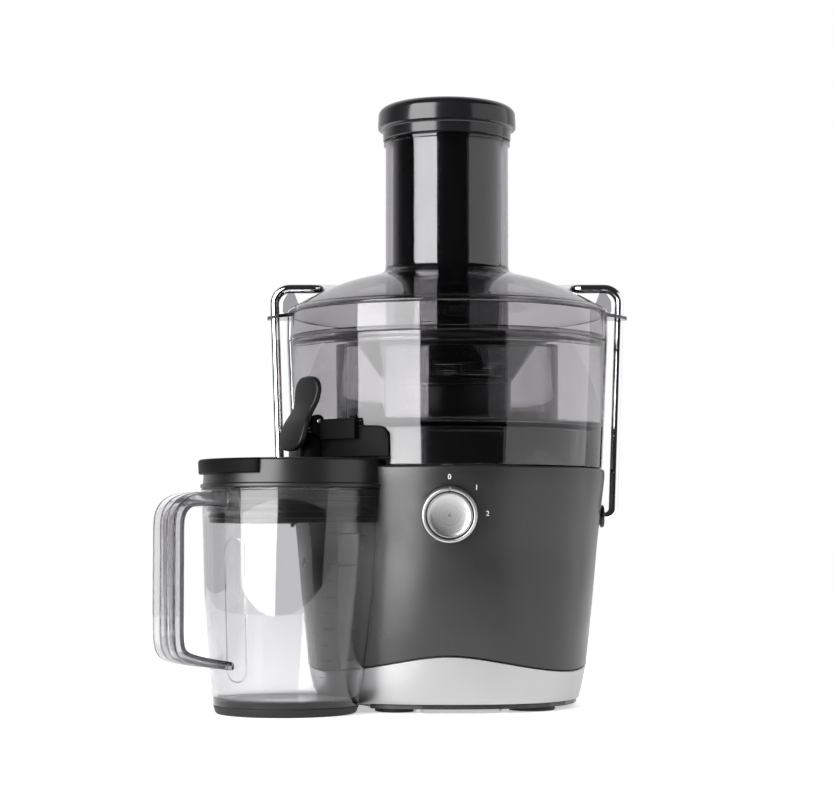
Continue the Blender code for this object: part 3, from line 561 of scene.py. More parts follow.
def cavity(low, high):
    levels = [low, 5.0, 16.0, 27.0, 47.0, 67.0, 87.0, 107.0, 127.0, 146.0]
    levels = [z for z in levels if z < high] + [high]
    rings = [base_outline(max(z, 5.0), BASE_WALL, lambda x, y, z=z: z, 0.5) for z in levels]
    hollow = to_object("hollow", skin(rings))
    return combined(hollow, [("DIFFERENCE", recess(BASE_WALL))])


def make_base():
    levels = [44.0 + 8.0 * i for i in range(13)] + [146.0]
    rings = seam_rings(0.25, 0.5) + [base_outline(z) for z in levels]
    edge = 2.2
    for k in range(1, 6):
        angle = math.pi / 2.0 * k / 5.0
        z = BASE_TOP - edge + edge * math.sin(angle)
        rings.append(base_outline(z, edge * (1.0 - math.cos(angle)), None, 0.0, base_radius(148.0)))
    housing = to_object("base_housing_shell", skin(rings))
    knob_hole = along(rod(4.5, -12.0, 12.0), KNOB_OUT, KNOB)
    dish = along(turned(rounded(((0.0, -0.9), (17.9, -0.9), (18.4, 12.0), (0.0, 12.0))), ROUND), KNOB_OUT, KNOB)
    combined(housing, [
        ("DIFFERENCE", recess()), ("DIFFERENCE", cavity(-3.0, BASE_TOP - 3.0)),
        ("DIFFERENCE", rod(15.0, 140.0, 160.0)), ("DIFFERENCE", dish), ("DIFFERENCE", knob_hole),
        ("DIFFERENCE", along(rod(6.3, -120.0, 120.0), (1, 0, 0), (0.0, 0.0, PIVOT_Z)))])
    dress(housing, "machine", "grey_plastic", ["base_housing"])
    # Faces of the recess wall that face the jug's axis are given the near-black gloss.
    repaint(housing, RECESS_BLACK, on_recess)

    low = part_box("base_skirt")[0].z / MM
    rings = [base_outline(low, 1.0), base_outline(low + 0.3, 0.3), base_outline(low + 1.0)]
    rings += [base_outline(z) for z in (9.0, 13.0, 17.0, 21.0)] + seam_rings(-0.25, 0.5)[::-1]
    skirt = to_object("base_skirt_ring", skin(rings))
    gland = along(rod(5.8, 70.0, 100.0), (0, 1, 0), (0.0, 0.0, 16.0))
    combined(skirt, [("DIFFERENCE", recess()), ("DIFFERENCE", cavity(-3.0, 60.0)), ("DIFFERENCE", gland)])
    dress(skirt, "machine", "silver_plastic", ["base_skirt"])


def make_feet():
    for name in ("foot_front_left", "foot_front_right", "foot_rear_left", "foot_rear_right"):
        low, high = (from_axis(corner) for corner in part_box(name))
        centre = ((low.x + high.x) / 2.0, (low.y + high.y) / 2.0)
        radius = (high.x - low.x) / 2.0
        profile = rounded(((0.0, 0.35), (radius - 6.0, 0.35), (radius - 5.5, 0.0), (radius, 0.0, 0.9),
                           (radius - 0.3, 2.3), (3.4, 2.3), (3.4, 8.0), (0.0, 8.0)))
        new_piece(name + "_pad", turned(profile, SMALL_ROUND, centre), "machine", "rubber_black", [name])


def make_bushes():
    bore = WIRE_RADIUS + 0.3
    outline = rounded(((bore, 95.0), (5.9, 95.0), (5.9, 100.4), (7.4, 100.4, 0.4), (7.4, 102.8, 0.9),
                       (bore, 102.8, 0.4)))
    for name, side in (("pivot_bush_left", -1.0), ("pivot_bush_right", 1.0)):
        bush = along(turned(outline, SMALL_ROUND), (side, 0, 0), (0.0, 0.0, PIVOT_Z))
        new_piece(name + "_ring", bush, "machine", "black_satin", [name])
    gland = rounded(((3.6, 80.0), (5.4, 80.0), (5.4, 89.0), (6.8, 89.0, 0.5), (6.2, 92.0, 0.8),
                     (3.6, 92.0, 0.5)))
    new_piece("cord_gland_ring", along(turned(gland, SMALL_ROUND), (0, 1, 0), (0.0, 0.0, 16.0)), "machine",
              "rubber_black", ["cord_gland"])


def make_dial():
    """Three small numerals round the knob, laid on the tilted wall."""
    right = Vector((1.0, 0.0, 0.0))
    up = KNOB_OUT.cross(right)
    for numeral, degrees in (("0", 0.0), ("1", 45.0), ("2", 90.0)):
        curve = bpy.data.curves.new("dial_" + numeral, "FONT")
        curve.body = numeral
        curve.align_x = "CENTER"
        curve.align_y = "CENTER"
        curve.size = 4.4 * MM
        curve.extrude = 0.05 * MM
        text = bpy.data.objects.new("dial_text", curve)
        bpy.context.scene.collection.objects.link(text)
        bpy.context.view_layer.update()
        mesh = bpy.data.meshes.new_from_object(text.evaluated_get(bpy.context.evaluated_depsgraph_get()))
        bpy.data.objects.remove(text)
        merged(mesh)
        angle = math.radians(degrees)
        along_x, along_up = 23.5 * math.sin(angle), 22.5 * math.cos(angle)
        place = KNOB + right * along_x + up * along_up
        sink = base_radius(place.z) - math.sqrt(base_radius(place.z) ** 2 - place.x ** 2)
        place.y = -base_radius(place.z) + sink - 0.06
        turn = Matrix((right, up, KNOB_OUT)).transposed().to_4x4()
        lean = Matrix.Rotation(math.asin(place.x / base_radius(place.z)), 4, "Z")
        mesh.transform(Matrix.Translation(AXIS + place * MM) @ lean @ turn)
        made = bpy.data.objects.new("dial_" + numeral, mesh)
        bpy.context.scene.collection.objects.link(made)
        dress(made, "machine", "silver_plastic", (), PRINT)


# ================================================================ bowl

def make_tray():
    under, floor = 157.4, 159.8
    profile = rounded(((98.4, TRAY_LOW, 0.5), (98.4, 173.4, 0.6), (98.9, 174.2, 0.5), (98.9, TRAY_HIGH, 0.8),
                       (96.2, TRAY_HIGH, 0.6), (95.8, 170.0), (95.8, floor, 3.0), (20.5, floor, 2.0),
                       (20.5, 190.0, 0.8), (18.0, 190.0, 0.6), (18.0, under), (95.8, under), (95.8, TRAY_LOW)))
    tray = to_object("juice_tray_bowl", turned(profile))
    corner = 7.5

    def section(share):
        arc = math.radians(SPOUT_HALF_ANGLE) * 103.8 * (1.0 - abs(share))
        drop = corner - math.sqrt(max(0.0, corner ** 2 - (corner - arc) ** 2)) if arc < corner else 0.0
        top = SPOUT_TOP - drop
        return ((97.2, under + 0.3), (103.4, under + 0.3), (104.0, under + 1.0), (104.0, top - 1.6),
                (103.7, top - 0.6), (102.9, top), (97.2, top))

    front = sector(section, SPOUT_AZIMUTH, SPOUT_HALF_ANGLE, 56)
    nozzle_centre = in_spout_frame(NOZZLE_REACH, 0.0, 0.0)[:2]
    nozzle = rod(8.0, 158.0, 173.4, SMALL_ROUND, nozzle_centre, 0.8)
    shoulder = rounded(((99.0, 158.4), (108.0, 158.4, 1.0), (112.0, 164.0, 4.0), (110.0, 173.0, 4.0),
                        (99.0, 177.0)))
    saddle_section = ((101.2, 169.3), (108.4, 169.3), (108.4, 180.4), (107.9, 181.4), (106.9, 181.9),
                      (103.9, 181.9), (103.4, 181.4), (103.4, 175.3), (101.2, 175.3))
    saddle = sector(lambda _: saddle_section, SPOUT_AZIMUTH + 13.9, 7.6, 14)
    changes = [("DIFFERENCE", recess(0.0, under + 0.2)), ("UNION", front), ("UNION", nozzle),
               ("UNION", saddle), ("UNION", slab(shoulder, -6.5, 6.5, upright))]
    ear = rounded(((101.5, 171.0), (109.0, 171.0, 2.0), (113.0, 176.0, 2.0), (113.0, 184.8, 3.9),
                   (104.2, 184.8, 3.9), (104.2, 176.0), (101.5, 176.0)))
    for side in (-1.0, 1.0):
        changes.append(("UNION", slab(ear, *sorted((side * 8.4, side * 11.2)), upright)))
    pin_at = in_spout_frame(math.hypot(PIN.x, PIN.y), 0.0, PIN.z)
    changes += [("DIFFERENCE", rod(6.0, 150.0, 170.5, SMALL_ROUND, nozzle_centre)),
                ("DIFFERENCE", along(rod(4.8, 88.0, NOZZLE_REACH), OUTWARD, (0.0, 0.0, 165.0))),
                ("DIFFERENCE", along(rod(1.9, -20.0, 20.0), ACROSS, pin_at))]
    dress(combined(tray, changes), "machine", "black_gloss", ["juice_tray"])
    repaint(tray, SPOUT_BLACK, lambda centre, _: math.hypot(centre.x, centre.y) > 99.2)
    pin = along(rod(1.5, -12.4, 12.4, SMALL_ROUND, (0.0, 0.0), 0.4), ACROSS, pin_at)
    new_piece("spout_hinge_pin", pin, "machine", "stainless", ["spout_pin"])


def make_basin():
    floor = BASIN_FLOOR + 2.2
    profile = rounded(((101.6, TRAY_LOW, 0.6), (105.5, BASIN_TOP, 0.6), (103.0, BASIN_TOP, 0.4),
                       (100.5, floor, 4.0), (73.0, floor, 4.0), (73.0, 226.5, 0.9), (71.0, 226.5, 0.9),
                       (71.0, BASIN_FLOOR), (100.4, BASIN_FLOOR, 0.5), (99.9, TRAY_LOW, 0.4)))
    basin = to_object("pulp_basin_shell", turned(profile))
    corner = 8.0

    def section(share):
        arc = math.radians(SPOUT_HALF_ANGLE + 0.4) * 104.0 * (1.0 - abs(share))
        drop = corner - math.sqrt(max(0.0, corner ** 2 - (corner - arc) ** 2)) if arc < corner else 0.0
        top = SPOUT_TOP + 0.4 - drop
        return ((96.8, 140.0), (115.0, 140.0), (115.0, top), (96.8, top))

    notch = sector(section, SPOUT_AZIMUTH, SPOUT_HALF_ANGLE + 0.4, 56)
    dress(combined(basin, [("DIFFERENCE", notch)]), "machine", "smoke_clear", ["pulp_basin"])
    seal = rounded(((101.45, 231.4, 0.4), (102.4, 231.4, 0.4), (102.4, 233.4, 0.4), (101.45, 233.4, 0.4)))
    new_piece("bowl_seal_ring", turned(seal), "machine", "rubber_black", ["bowl_seal"])


def make_lid():
    dome = smooth_through(((103.6, 257.6), (94.7, 262.4), (80.8, 269.2), (67.6, 274.4), (54.5, 278.0),
                           (45.5, 280.4)), 6)
    throat = [(CHUTE_OUTER + 5.4 - 5.4 * math.sin(a), 286.2 - 5.4 * math.cos(a))
              for a in (math.pi / 2.0 * k / 8.0 for k in range(1, 9))]
    inside = [(r - 1.3, z - 2.5) for r, z in reversed(dome)]
    outer, inner, top = CHUTE_OUTER, CHUTE_INNER, CHUTE_TOP
    profile = [(105.6, LID_SEAM + 0.4), (105.6, 252.8), (106.5, 253.2), (106.8, 253.9), (106.6, 254.9),
               (105.9, 255.9), *dome, *throat, (outer, 366.6), (outer + 1.2, 367.0), (outer + 1.2, top - 0.5),
               (outer + 0.8, top), (inner + 0.6, top), (inner, top - 0.6), (inner, 235.6),
               (inner + 0.6, 235.0), (outer - 0.6, 235.0), (outer, 235.6), (outer, 276.6),
               (outer + 2.2, 277.9), *inside, (103.3, 253.6), (103.3, 238.6), (102.9, 238.2), (99.0, 238.2),
               (99.0, 229.9), (99.3, 229.6), (100.9, 229.6), (101.2, 229.9), (101.2, LID_SEAM),
               (105.2, LID_SEAM)]
    lid = to_object("lid_shell", turned(profile))
    changes = []
    ear_outline = ((98.4, -37.0, 0.0), (110.0, -24.5, 20.0), (117.8, -9.0, 6.0), (118.6, -3.6, 1.2),
                   (104.4, -3.6, 0.0))
    post_outline = ((105.0, 268.5, 1.5), (100.5, 268.5, 1.0), (96.8, 258.4, 0.0), (104.4, 252.6, 0.0),
                    (108.3, 256.4, 1.0), (108.0, 263.5, 4.0))
    for side in (-1.0, 1.0):
        ear = rounded([(side * x, y, r) for x, y, r in ear_outline])
        post = rounded([(side * x, z, r) for x, z, r in post_outline])
        changes += [("UNION", slab(ear, 250.4, 252.6)),
                    ("UNION", slab(post, -3.0, 3.0, lambda a, b, c: (a, c, b)))]
    dress(combined(lid, changes), "machine", "smoke_clear", ["lid"])


# ================================================================ sieve

def make_sieve():
    cone = rounded(((40.6, 200.6), (43.4, 200.6, 0.5), (66.4, 228.8, 0.8), (66.4, 231.0, 0.3),
                    (65.4, 231.0, 0.3), (65.4, 229.2, 0.8), (42.7, 201.7, 0.5), (40.6, 201.7)))
    new_piece("sieve_mesh_cone", turned(cone), "rotor", "stainless", ["sieve_cone"], MESH_STEEL)
    rim = rounded(((66.8, 229.4, 0.6), (74.0, 228.2, 1.0), (74.0, 238.0, 1.6), (64.6, 238.0, 1.2),
                   (64.6, 231.4, 0.3), (66.8, 231.4)))
    new_piece("sieve_rim_ring", turned(rim), "rotor", "black_satin", ["sieve_rim"])
    hub = rounded(((0.0, 186.5), (12.6, 186.5), (12.6, 160.5, 0.6), (16.3, 160.5, 0.6), (16.3, 193.5, 1.5),
                   (39.5, 193.5, 1.5), (39.5, 180.0, 0.5), (42.0, 180.0, 0.8), (42.0, 200.2, 0.8),
                   (40.2, 200.2, 0.4), (40.2, 197.0), (0.0, 197.0)))
    new_piece("sieve_hub_cup", turned(hub, 96), "rotor", "black_satin", ["sieve_hub"])
    disc = rounded(((0.0, 197.3), (39.7, 197.3), (39.7, 198.6, 0.3), (9.0, 198.6, 0.8), (7.0, 202.0, 1.5),
                    (0.0, 203.0)))
    plate = to_object("grating_disc_plate", turned(disc, 96))
    bm = bmesh.new()
    bm.from_mesh(plate.data)
    for ring in range(7):
        reach = 13.0 + 4.0 * ring
        count = 10 + 5 * ring
        for i in range(count):
            angle = math.tau * (i + 0.5 * (ring % 2)) / count
            tooth = bmesh.ops.create_cone(bm, cap_ends=True, segments=4, radius1=0.9 * MM, radius2=0.1 * MM,
                                          depth=1.7 * MM)
            place = Vector((reach * math.cos(angle), reach * math.sin(angle), 199.1)) * MM + AXIS
            bmesh.ops.transform(bm, verts=tooth["verts"],
                                matrix=Matrix.Translation(place) @ Matrix.Rotation(angle, 4, "Z"))
    bm.to_mesh(plate.data)
    bm.free()
    dress(plate, "rotor", "stainless", ["grating_disc"])


# ================================================================ pusher

def make_pusher():
    low = PUSHER_LOW
    body = rounded(((0.0, low), (35.6, low, 2.4), (35.6, 368.0, 0.4), (33.4, 368.0, 0.4),
                    (33.4, low + 2.6, 2.0), (0.0, low + 2.6)), 6)
    new_piece("pusher_cup", turned(body), "pusher", "black_satin", ["pusher_body"],
              moulded("pusher_black_look", (0.006, 0.006, 0.007), 0.12, spread=0.02))
    top = CAP_TOP
    crown = [(r, top - 0.9 * (r / 36.0) ** 2) for r in (0.0, 9.0, 18.0, 26.0, 32.0, 36.0)]
    edge = [(36.0 + 9.4 * math.sin(a), top - 7.2 + 6.3 * math.cos(a))
            for a in (math.pi / 2.0 * k / 10.0 for k in range(1, 11))]
    profile = ([(0.0, 377.4), (33.0, 377.4), (33.0, 368.6), (36.0, 368.6), (36.0, 369.7), (41.6, 369.7),
                (42.2, 370.3), (42.4, 376.2), (42.9, 376.9), (44.4, 377.2), (45.4, 377.9), (45.7, 379.0)]
               + edge[::-1] + crown[::-1])
    new_piece("pusher_cap_knob", turned(profile), "pusher", "black_gloss", ["pusher_cap"])


# ================================================================ locking arm

def rounded_path(corners, steps=10):
    points = []
    for i, (corner, radius) in enumerate(corners):
        corner = Vector(corner)
        if radius <= 0.0:
            points.append(corner)
            continue
        before = (Vector(corners[i - 1][0]) - corner).normalized()
        after = (Vector(corners[i + 1][0]) - corner).normalized()
        half = before.angle(after) / 2.0
        centre = corner + (before + after).normalized() * (radius / math.sin(half))
        start = (corner + before * (radius / math.tan(half)) - centre).normalized()
        end = (corner + after * (radius / math.tan(half)) - centre).normalized()
        for k in range(steps + 1):
            points.append(centre + start.slerp(end, k / steps) * radius)
    return points


def make_arm():
    reach, back = 84.0, 76.0
    half = [((94.0, 0.0, PIVOT_Z), 0.0), ((108.8, 0.0, PIVOT_Z), 5.0), ((114.2, 0.0, WIRE_TOP), 10.0),
            ((reach, 0.0, WIRE_TOP), 7.0)]
    left = [((-x, y, z), radius) for (x, y, z), radius in half]
    behind = []
    steps = 18
    for i in range(1, steps):
        angle = math.pi * (1.0 - i / steps)
        behind.append((reach * math.cos(angle), back * math.sin(angle), WIRE_TOP + WIRE_RISE * math.sin(angle)))
    start = rounded_path(left + [(behind[0], 0.0)])[:-1]
    end = rounded_path([(behind[-1], 0.0)] + half[::-1])[1:]
    middle = [Vector(point) for point in smooth_through(behind, 4)]
    wire = tube(start + middle + end, WIRE_RADIUS, 32)
    new_piece("locking_arm_wire", wire, "arm", "chrome_wire", ["locking_arm"])


# ================================================================ knob and lever

def make_knob():
    ring = rounded(((3.4, 0.6), (15.8, 0.6), (16.4, 1.6, 0.4), (17.1, 2.0, 0.4), (16.9, 10.2, 1.1),
                    (14.9, 10.2, 0.8), (14.2, 7.4, 0.4), (3.4, 7.4)), 6)
    knob = to_object("speed_knob_ring", along(turned(ring, 96), KNOB_OUT, KNOB))
    right = Vector((1.0, 0.0, 0.0))
    up = KNOB_OUT.cross(right)

    def on_knob(a, b, c):
        return tuple(KNOB + right * a + up * b + KNOB_OUT * c)

    notch = slab(rounded(((-0.7, 14.6, 0.3), (0.7, 14.6, 0.3), (0.7, 18.0), (-0.7, 18.0))), 8.6, 12.0, on_knob)
    dress(combined(knob, [("DIFFERENCE", notch)]), "knob", "knob_metal", ["speed_knob"])
    insert = [(0.0, 7.7), (13.9, 7.7), (13.9, 9.5), (13.6, 9.8), (13.1, 9.8)]
    insert += [(13.0 * math.cos(a), 9.8 - 1.5 * math.sin(a))
               for a in (math.pi / 20.0 * k for k in range(11))]
    new_piece("knob_dish", along(turned(insert, 96), KNOB_OUT, KNOB), "knob", "knob_metal", ["knob_insert"])


def make_lever():
    """The drip stop: an S-curved paddle with round ends on a barrel round the spout's pin."""
    spine = smooth_through(((109.4, 209.4), (109.6, 205.0), (110.0, 199.0), (111.4, 192.2), (114.8, 185.4),
                            (118.6, 178.6), (121.2, 171.4), (122.6, 165.6), (123.1, 161.8)), 6)
    length = spine[0][1] - spine[-1][1]

    def section(share):
        from_end = length * min(share, 1.0 - share)
        end, aside = 12.5, 1.5
        width = 13.5 * math.sqrt(max(0.015, 1.0 - max(0.0, 1.0 - from_end / end) ** 2))
        waist = 1.0 - 0.2 * math.exp(-((share - 0.47) / 0.14) ** 2)
        half, thick = width * waist, 1.9 * min(1.0, 0.35 + from_end / 2.5)
        return rounded(((aside - half, -thick, 1.3), (aside + half, -thick, 1.3), (aside + half, thick, 1.3),
                        (aside - half, thick, 1.3)), 4)

    paddle = to_object("drip_lever_paddle", swept(spine, section))
    pin_at = in_spout_frame(math.hypot(PIN.x, PIN.y), 0.0, PIN.z)
    stem = rounded(((108.0, 177.6, 1.0), (118.0, 177.4), (116.0, 184.2), (108.0, 184.2, 2.0)))
    combined(paddle, [("UNION", along(rod(3.7, -8.0, 8.0, SMALL_ROUND, (0.0, 0.0), 0.6), ACROSS, pin_at)),
                      ("UNION", slab(stem, -6.0, 6.0, upright)),
                      ("DIFFERENCE", along(rod(1.9, -12.0, 12.0), ACROSS, pin_at))])
    dress(paddle, "lever", "black_satin", ["drip_lever"], LEVER_BLACK)


# ================================================================ jug

def jug_radius(z):
    table = ((0.0, 44.2), (3.0, 45.0), (30.0, 49.0), (75.0, 53.5), (138.4, 57.7))
    for (za, ra), (zb, rb) in zip(table, table[1:]):
        if z <= zb:
            return ra + (rb - ra) * (z - za) / (zb - za)
    return table[-1][1]


def leaning(bm):
    """Shears a mesh made about the jug's upright axis, so that it leans towards the machine as it rises."""
    for vertex in bm.verts:
        vertex.co -= OUTWARD * (JUG_LEAN * vertex.co.z)
    return bm


def make_handle():
    """A channelled bar that widens into the rim, with three ribs along its outer face."""
    spine = smooth_through(((49.9, 131.2), (60.0, 131.4), (70.0, 131.0), (77.0, 129.0), (81.6, 124.4),
                            (83.5, 117.0), (83.6, 100.0), (83.6, 80.0), (83.5, 60.0), (83.2, 47.5),
                            (81.6, 40.6), (77.2, 36.8), (68.0, 34.2), (57.0, 32.2), (45.8, 30.6)), 5)
    spine = [(JUG_REACH + r, z) for r, z in spine]

    def section(share):
        half = 13.5
        thick = 3.5 + 1.5 * max(0.0, 1.0 - share * 5.0) - 1.1 * max(0.0, share * 4.0 - 3.0)
        deep = -thick + min(2.2, thick * 0.9)
        grooves = []
        for left, right in ((-11.4, -4.8), (-3.0, 3.0), (4.8, 11.4)):
            grooves += [(left, thick, 0.4), (left + 0.5, deep, 0.6), (right - 0.5, deep, 0.6),
                        (right, thick, 0.4)]
        outline = [(-half, -thick, 1.4), (-half, thick, 0.7), *grooves, (half, thick, 0.7), (half, -thick, 1.4)]
        return rounded(outline, 3)

    return swept(spine, section)


def make_jug():
    centre = (JUG_AXIS.x, JUG_AXIS.y)
    wall = JUG_WALL
    outer = [(jug_radius(z), z) for z in (30.0, 52.0, 75.0, 96.0, 117.0, 136.6)]
    inner = [(jug_radius(z) - wall, z) for z in (136.6, 117.0, 96.0, 75.0, 52.0, 30.0)]
    profile = rounded([(0.0, JUG_BOTTOM), (jug_radius(JUG_BOTTOM), JUG_BOTTOM, 0.4), *outer, (58.4, 137.2, 0.4),
                       (58.4, JUG_TOP, 0.5), (55.8, JUG_TOP, 0.6), *inner, (jug_radius(8.0) - wall, 8.0, 4.0),
                       (0.0, 8.0)])
    jug = to_object("jug_shell", leaning(turned(profile, ROUND, centre)))
    combined(jug, [("UNION", make_handle())])
    dress(jug, "jug", "smoke_clear", ["jug"], JUG_CLEAR)
    top = JUG_BOTTOM - 0.1
    pad = rounded(((0.0, 0.3), (36.0, 0.3), (37.0, 0.0), (43.4, 0.0, 1.6), (jug_radius(top), top, 0.4),
                   (0.0, top)))
    new_piece("jug_base_disc", leaning(turned(pad, ROUND, centre)), "jug", "rubber_black", ["jug_base_pad"])
    make_oval()
    make_graduations()


def on_jug_wall(degrees, z, lift):
    radius = jug_radius(z) + lift
    x, y, _ = at_azimuth(radius, degrees, z)
    return (x + JUG_AXIS.x, y + JUG_AXIS.y, z)


def make_oval():
    """A plain raised oval outline standing on the jug's front wall."""
    path = []
    half_wide, low, high = 7.7, 21.0, 108.0
    for k in range(48):
        angle = math.tau * k / 48.0
        up = math.sin(angle)
        z = (high - half_wide if up > 0.0 else low + half_wide) + half_wide * up
        arc = half_wide * math.cos(angle)
        path.append(on_jug_wall(-36.0 + math.degrees(arc / jug_radius(z)), z, 0.05))
    filled = []
    for a, b in zip(path, path[1:] + path[:1]):
        steps = max(1, int((Vector(b) - Vector(a)).length / 4.0))
        filled += [tuple(Vector(a).lerp(Vector(b), s / steps)) for s in range(steps)]
    new_piece("jug_oval_bead", leaning(tube(filled, 0.42, 8, True)), "jug", "smoke_clear", (), JUG_CLEAR)


def make_graduations():
    """Level lines up the jug's wall on the machine side, long and short by turns, in two columns."""
    bm = bmesh.new()
    full, long_pair, short_pair = ((27.0, 55.0),), ((27.0, 35.0), (49.0, 55.0)), ((27.0, 31.0), (52.0, 55.0))
    for i in range(10):
        low = 24.0 + 9.6 * i
        for start, end in full if i in (7, 9) else long_pair if i % 2 else short_pair:
            steps = max(2, round((end - start) / 2.0))
            rows = []
            for k in range(steps + 1):
                degrees = start + (end - start) * k / steps
                corners = ((low, 0.03), (low + 0.4, 0.03), (low + 0.4, 0.1), (low, 0.1))
                rows.append([bm.verts.new(on_jug_wall(degrees, z, lift)) for z, lift in corners])
            for near, far in zip(rows, rows[1:]):
                for k in range(4):
                    bm.faces.new((near[k], near[(k + 1) % 4], far[(k + 1) % 4], far[k]))
            bm.faces.new(rows[0])
            bm.faces.new(rows[-1])
    new_piece("jug_graduations", leaning(bm), "jug", "smoke_clear", (), MARKS)


def on_tab(centre, _):
    """Whether a face belongs to the thumb tab that stands out from the lid's edge."""
    upright = centre + OUTWARD * (JUG_LEAN * centre.z) - JUG_AXIS
    return math.hypot(upright.x, upright.y) > 57.3 and centre.z > 146.0


def make_jug_lid():
    centre = (JUG_AXIS.x, JUG_AXIS.y)
    ribs = []
    for k in range(4):
        z = 119.5 + 4.4 * k
        ribs += [(52.2, z, 0.3), (53.0, z + 0.5, 0.3), (53.0, z + 1.7, 0.3), (52.2, z + 2.2, 0.3)]
    profile = rounded([(0.0, 153.6), (50.2, 153.6, 2.0), (50.2, 117.0, 0.4), (52.2, 117.0, 0.6), *ribs,
                       (52.6, 138.8), (58.8, 138.8, 0.5), (58.8, 141.0, 0.7), (57.2, 141.4, 0.4),
                       (57.0, JUG_LID_TOP, 2.4), (52.6, JUG_LID_TOP, 0.8), (51.8, JUG_LID_TOP - 0.9, 0.8),
                       (0.0, JUG_LID_TOP - 0.9)])
    cover = to_object("jug_lid_cover", leaning(turned(profile, ROUND, centre)))

    def section(share):
        end = 1.2 * (abs(share) ** 14)
        return rounded(((55.0, 147.2), (60.2 - end, 147.2, 0.8), (60.9 - end, 155.0, 0.6),
                        (59.9 - end, 156.3, 0.8), (55.0, 156.3)), 3)

    tab = leaning(sector(section, SPOUT_AZIMUTH, 35.0, 40, centre))
    hole_at = in_spout_frame(NOZZLE_REACH + JUG_LEAN * JUG_LID_TOP, 0.0, 0.0)[:2]
    hole = leaning(rod(11.0, 140.0, 170.0, SMALL_ROUND, hole_at))
    dress(combined(cover, [("UNION", tab), ("DIFFERENCE", hole)]), "jug", "black_satin", ["jug_lid"])
    repaint(cover, SPOUT_BLACK, on_tab)
    seal = rounded(((53.3, 123.8, 0.3), (54.0, 124.2, 0.3), (54.0, 126.4, 0.3), (53.3, 126.8, 0.3)))
    new_piece("jug_lid_gasket", leaning(turned(seal, ROUND, centre)), "jug", "rubber_black", ["jug_lid_seal"])


def make_separator():
    outline = rounded(((-38.0, 153.2), (38.0, 153.2), (36.5, 116.0, 8.0), (18.0, 99.0, 6.0), (-18.0, 99.0, 6.0),
                       (-36.5, 116.0, 8.0)), 5)
    baffle = slab(outline, -32.0, -30.2, lambda a, b, c: jug_point(c, a, b))
    new_piece("froth_baffle", leaning(baffle), "jug", "smoke_clear", ["froth_separator"],
              clear_plastic("baffle_look", (0.72, 0.70, 0.72), 0.0018, 0.2))


# ================================================================ the rest of the frame

def dress_frame():
    """Gives every carried-over CAD node the material of its slot."""
    slots = {entry["node"]: entry["material_slot"] for entry in frame["record"]["subparts"]}
    for name, node in NODES.items():
        node.data.materials.clear()
        node.data.materials.append(MATERIALS[slots[name]])
        node.data.shade_smooth()
        node.data.set_sharp_from_angle(angle=math.radians(30.0))


# ================================================================ studio

def make_floor():
    """A white board that ends a little in front of the machine, so the lights reach below its edge."""
    wide, front, back = 1.1, -0.46, 1.6
    mesh = bpy.data.meshes.new("floor")
    mesh.from_pydata([(-wide, front, 0.0), (wide, front, 0.0), (wide, back, 0.0), (-wide, back, 0.0)], [],
                     [(0, 1, 2, 3)])
    floor = bpy.data.objects.new("floor", mesh)
    bpy.context.scene.collection.objects.link(floor)
    floor.location.z = -0.0002
    made, nodes, links, shader = shader_of("floor_look")
    set_up(shader, Base_Color=(0.9, 0.9, 0.9, 1.0), Roughness=0.55, Emission_Color=(1.0, 1.0, 1.0, 1.0),
           Emission_Strength=0.5)
    mesh.materials.append(made)


def soft_box(name, azimuth, distance, size, radiance, height):
    """A rectangular light facing the machine's axis. Azimuth is from the front, positive towards +X."""
    light = bpy.data.lights.new(name, "AREA")
    light.shape = "RECTANGLE"
    light.size, light.size_y = size
    light.energy = radiance * math.pi * size[0] * size[1]
    made = bpy.data.objects.new(name, light)
    bpy.context.scene.collection.objects.link(made)
    place = AXIS + Vector(at_azimuth(distance, azimuth, height))
    made.location = place
    made.rotation_euler = (AXIS + Vector((0.0, 0.0, height)) - place).to_track_quat("-Z", "Y").to_euler()
    return made


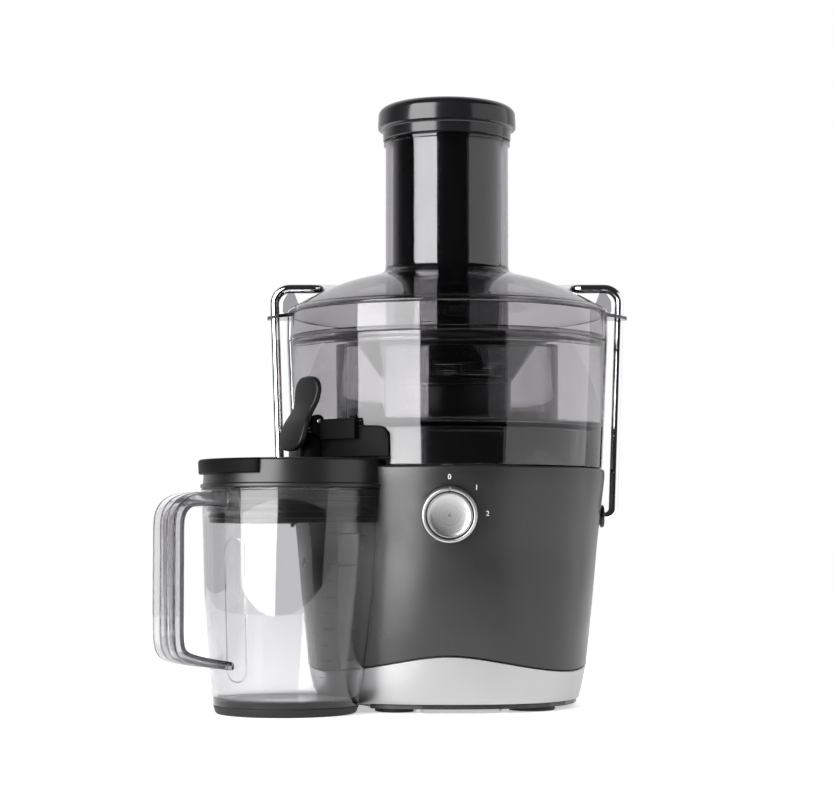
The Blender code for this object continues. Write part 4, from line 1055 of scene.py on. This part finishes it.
def make_world():
    """White for what is seen directly or straight through clear plastic; dim in front for reflections."""
    world = bpy.data.worlds.new("studio")
    bpy.context.scene.world = world
    world.use_nodes = True
    nodes, links = world.node_tree.nodes, world.node_tree.links
    nodes.clear()
    path = nodes.new("ShaderNodeLightPath")
    direction = nodes.new("ShaderNodeTexCoord")
    split = nodes.new("ShaderNodeSeparateXYZ")
    links.new(direction.outputs["Generated"], split.inputs["Vector"])

    def chosen(factor, otherwise, then):
        mix = nodes.new("ShaderNodeMix")
        mix.data_type = "FLOAT"
        links.new(factor, mix.inputs["Factor"])
        for socket, value in ((mix.inputs["A"], otherwise), (mix.inputs["B"], then)):
            if isinstance(value, float):
                socket.default_value = value
            else:
                links.new(value, socket)
        return mix.outputs["Result"]

    front_glow, back_glow, scattered_glow = 0.025, 0.85, 0.6
    glow = mapped(nodes, links, split.outputs["Y"], front_glow, back_glow, 0.15, 0.75)
    glow.node.interpolation_type = "SMOOTHSTEP"
    reflected = maths(nodes, links, "GREATER_THAN", path.outputs["Glossy Depth"], 0.5)
    scattered = maths(nodes, links, "GREATER_THAN", path.outputs["Diffuse Depth"], 0.5)
    strength = chosen(scattered, chosen(reflected, 1.0, glow), scattered_glow)
    shade = nodes.new("ShaderNodeBackground")
    shade.inputs["Color"].default_value = (1.0, 1.0, 1.0, 1.0)
    links.new(strength, shade.inputs["Strength"])
    output = nodes.new("ShaderNodeOutputWorld")
    links.new(shade.outputs["Background"], output.inputs["Surface"])


def make_camera():
    camera = bpy.data.cameras.new("camera")
    camera.lens = 94.23
    camera.sensor_width = 36.0
    made = bpy.data.objects.new("camera", camera)
    bpy.context.scene.collection.objects.link(made)
    made.location = AXIS + Vector((-0.0198, -1.4351, 0.110))
    made.rotation_euler = (math.radians(90.0 + 3.721), 0.0, 0.0)
    bpy.context.scene.camera = made


def make_studio():
    make_floor()
    make_world()
    soft_box("key_left", -42.0, 1.5, (1.25, 2.4), 9.0, 0.3)
    soft_box("fill_right", 80.0, 1.5, (2.4, 2.2), 1.1, 0.3)
    make_camera()
    scene = bpy.context.scene
    scene.view_settings.view_transform = "Standard"
    scene.cycles.max_bounces = 24
    scene.cycles.transmission_bounces = 24
    scene.cycles.glossy_bounces = 8


def main():
    make_studio()
    dress_frame()
    make_base()
    make_feet()
    make_bushes()
    make_dial()
    make_tray()
    make_basin()
    make_lid()
    make_sieve()
    make_pusher()
    make_arm()
    make_knob()
    make_lever()
    make_jug()
    make_jug_lid()
    make_separator()


main()
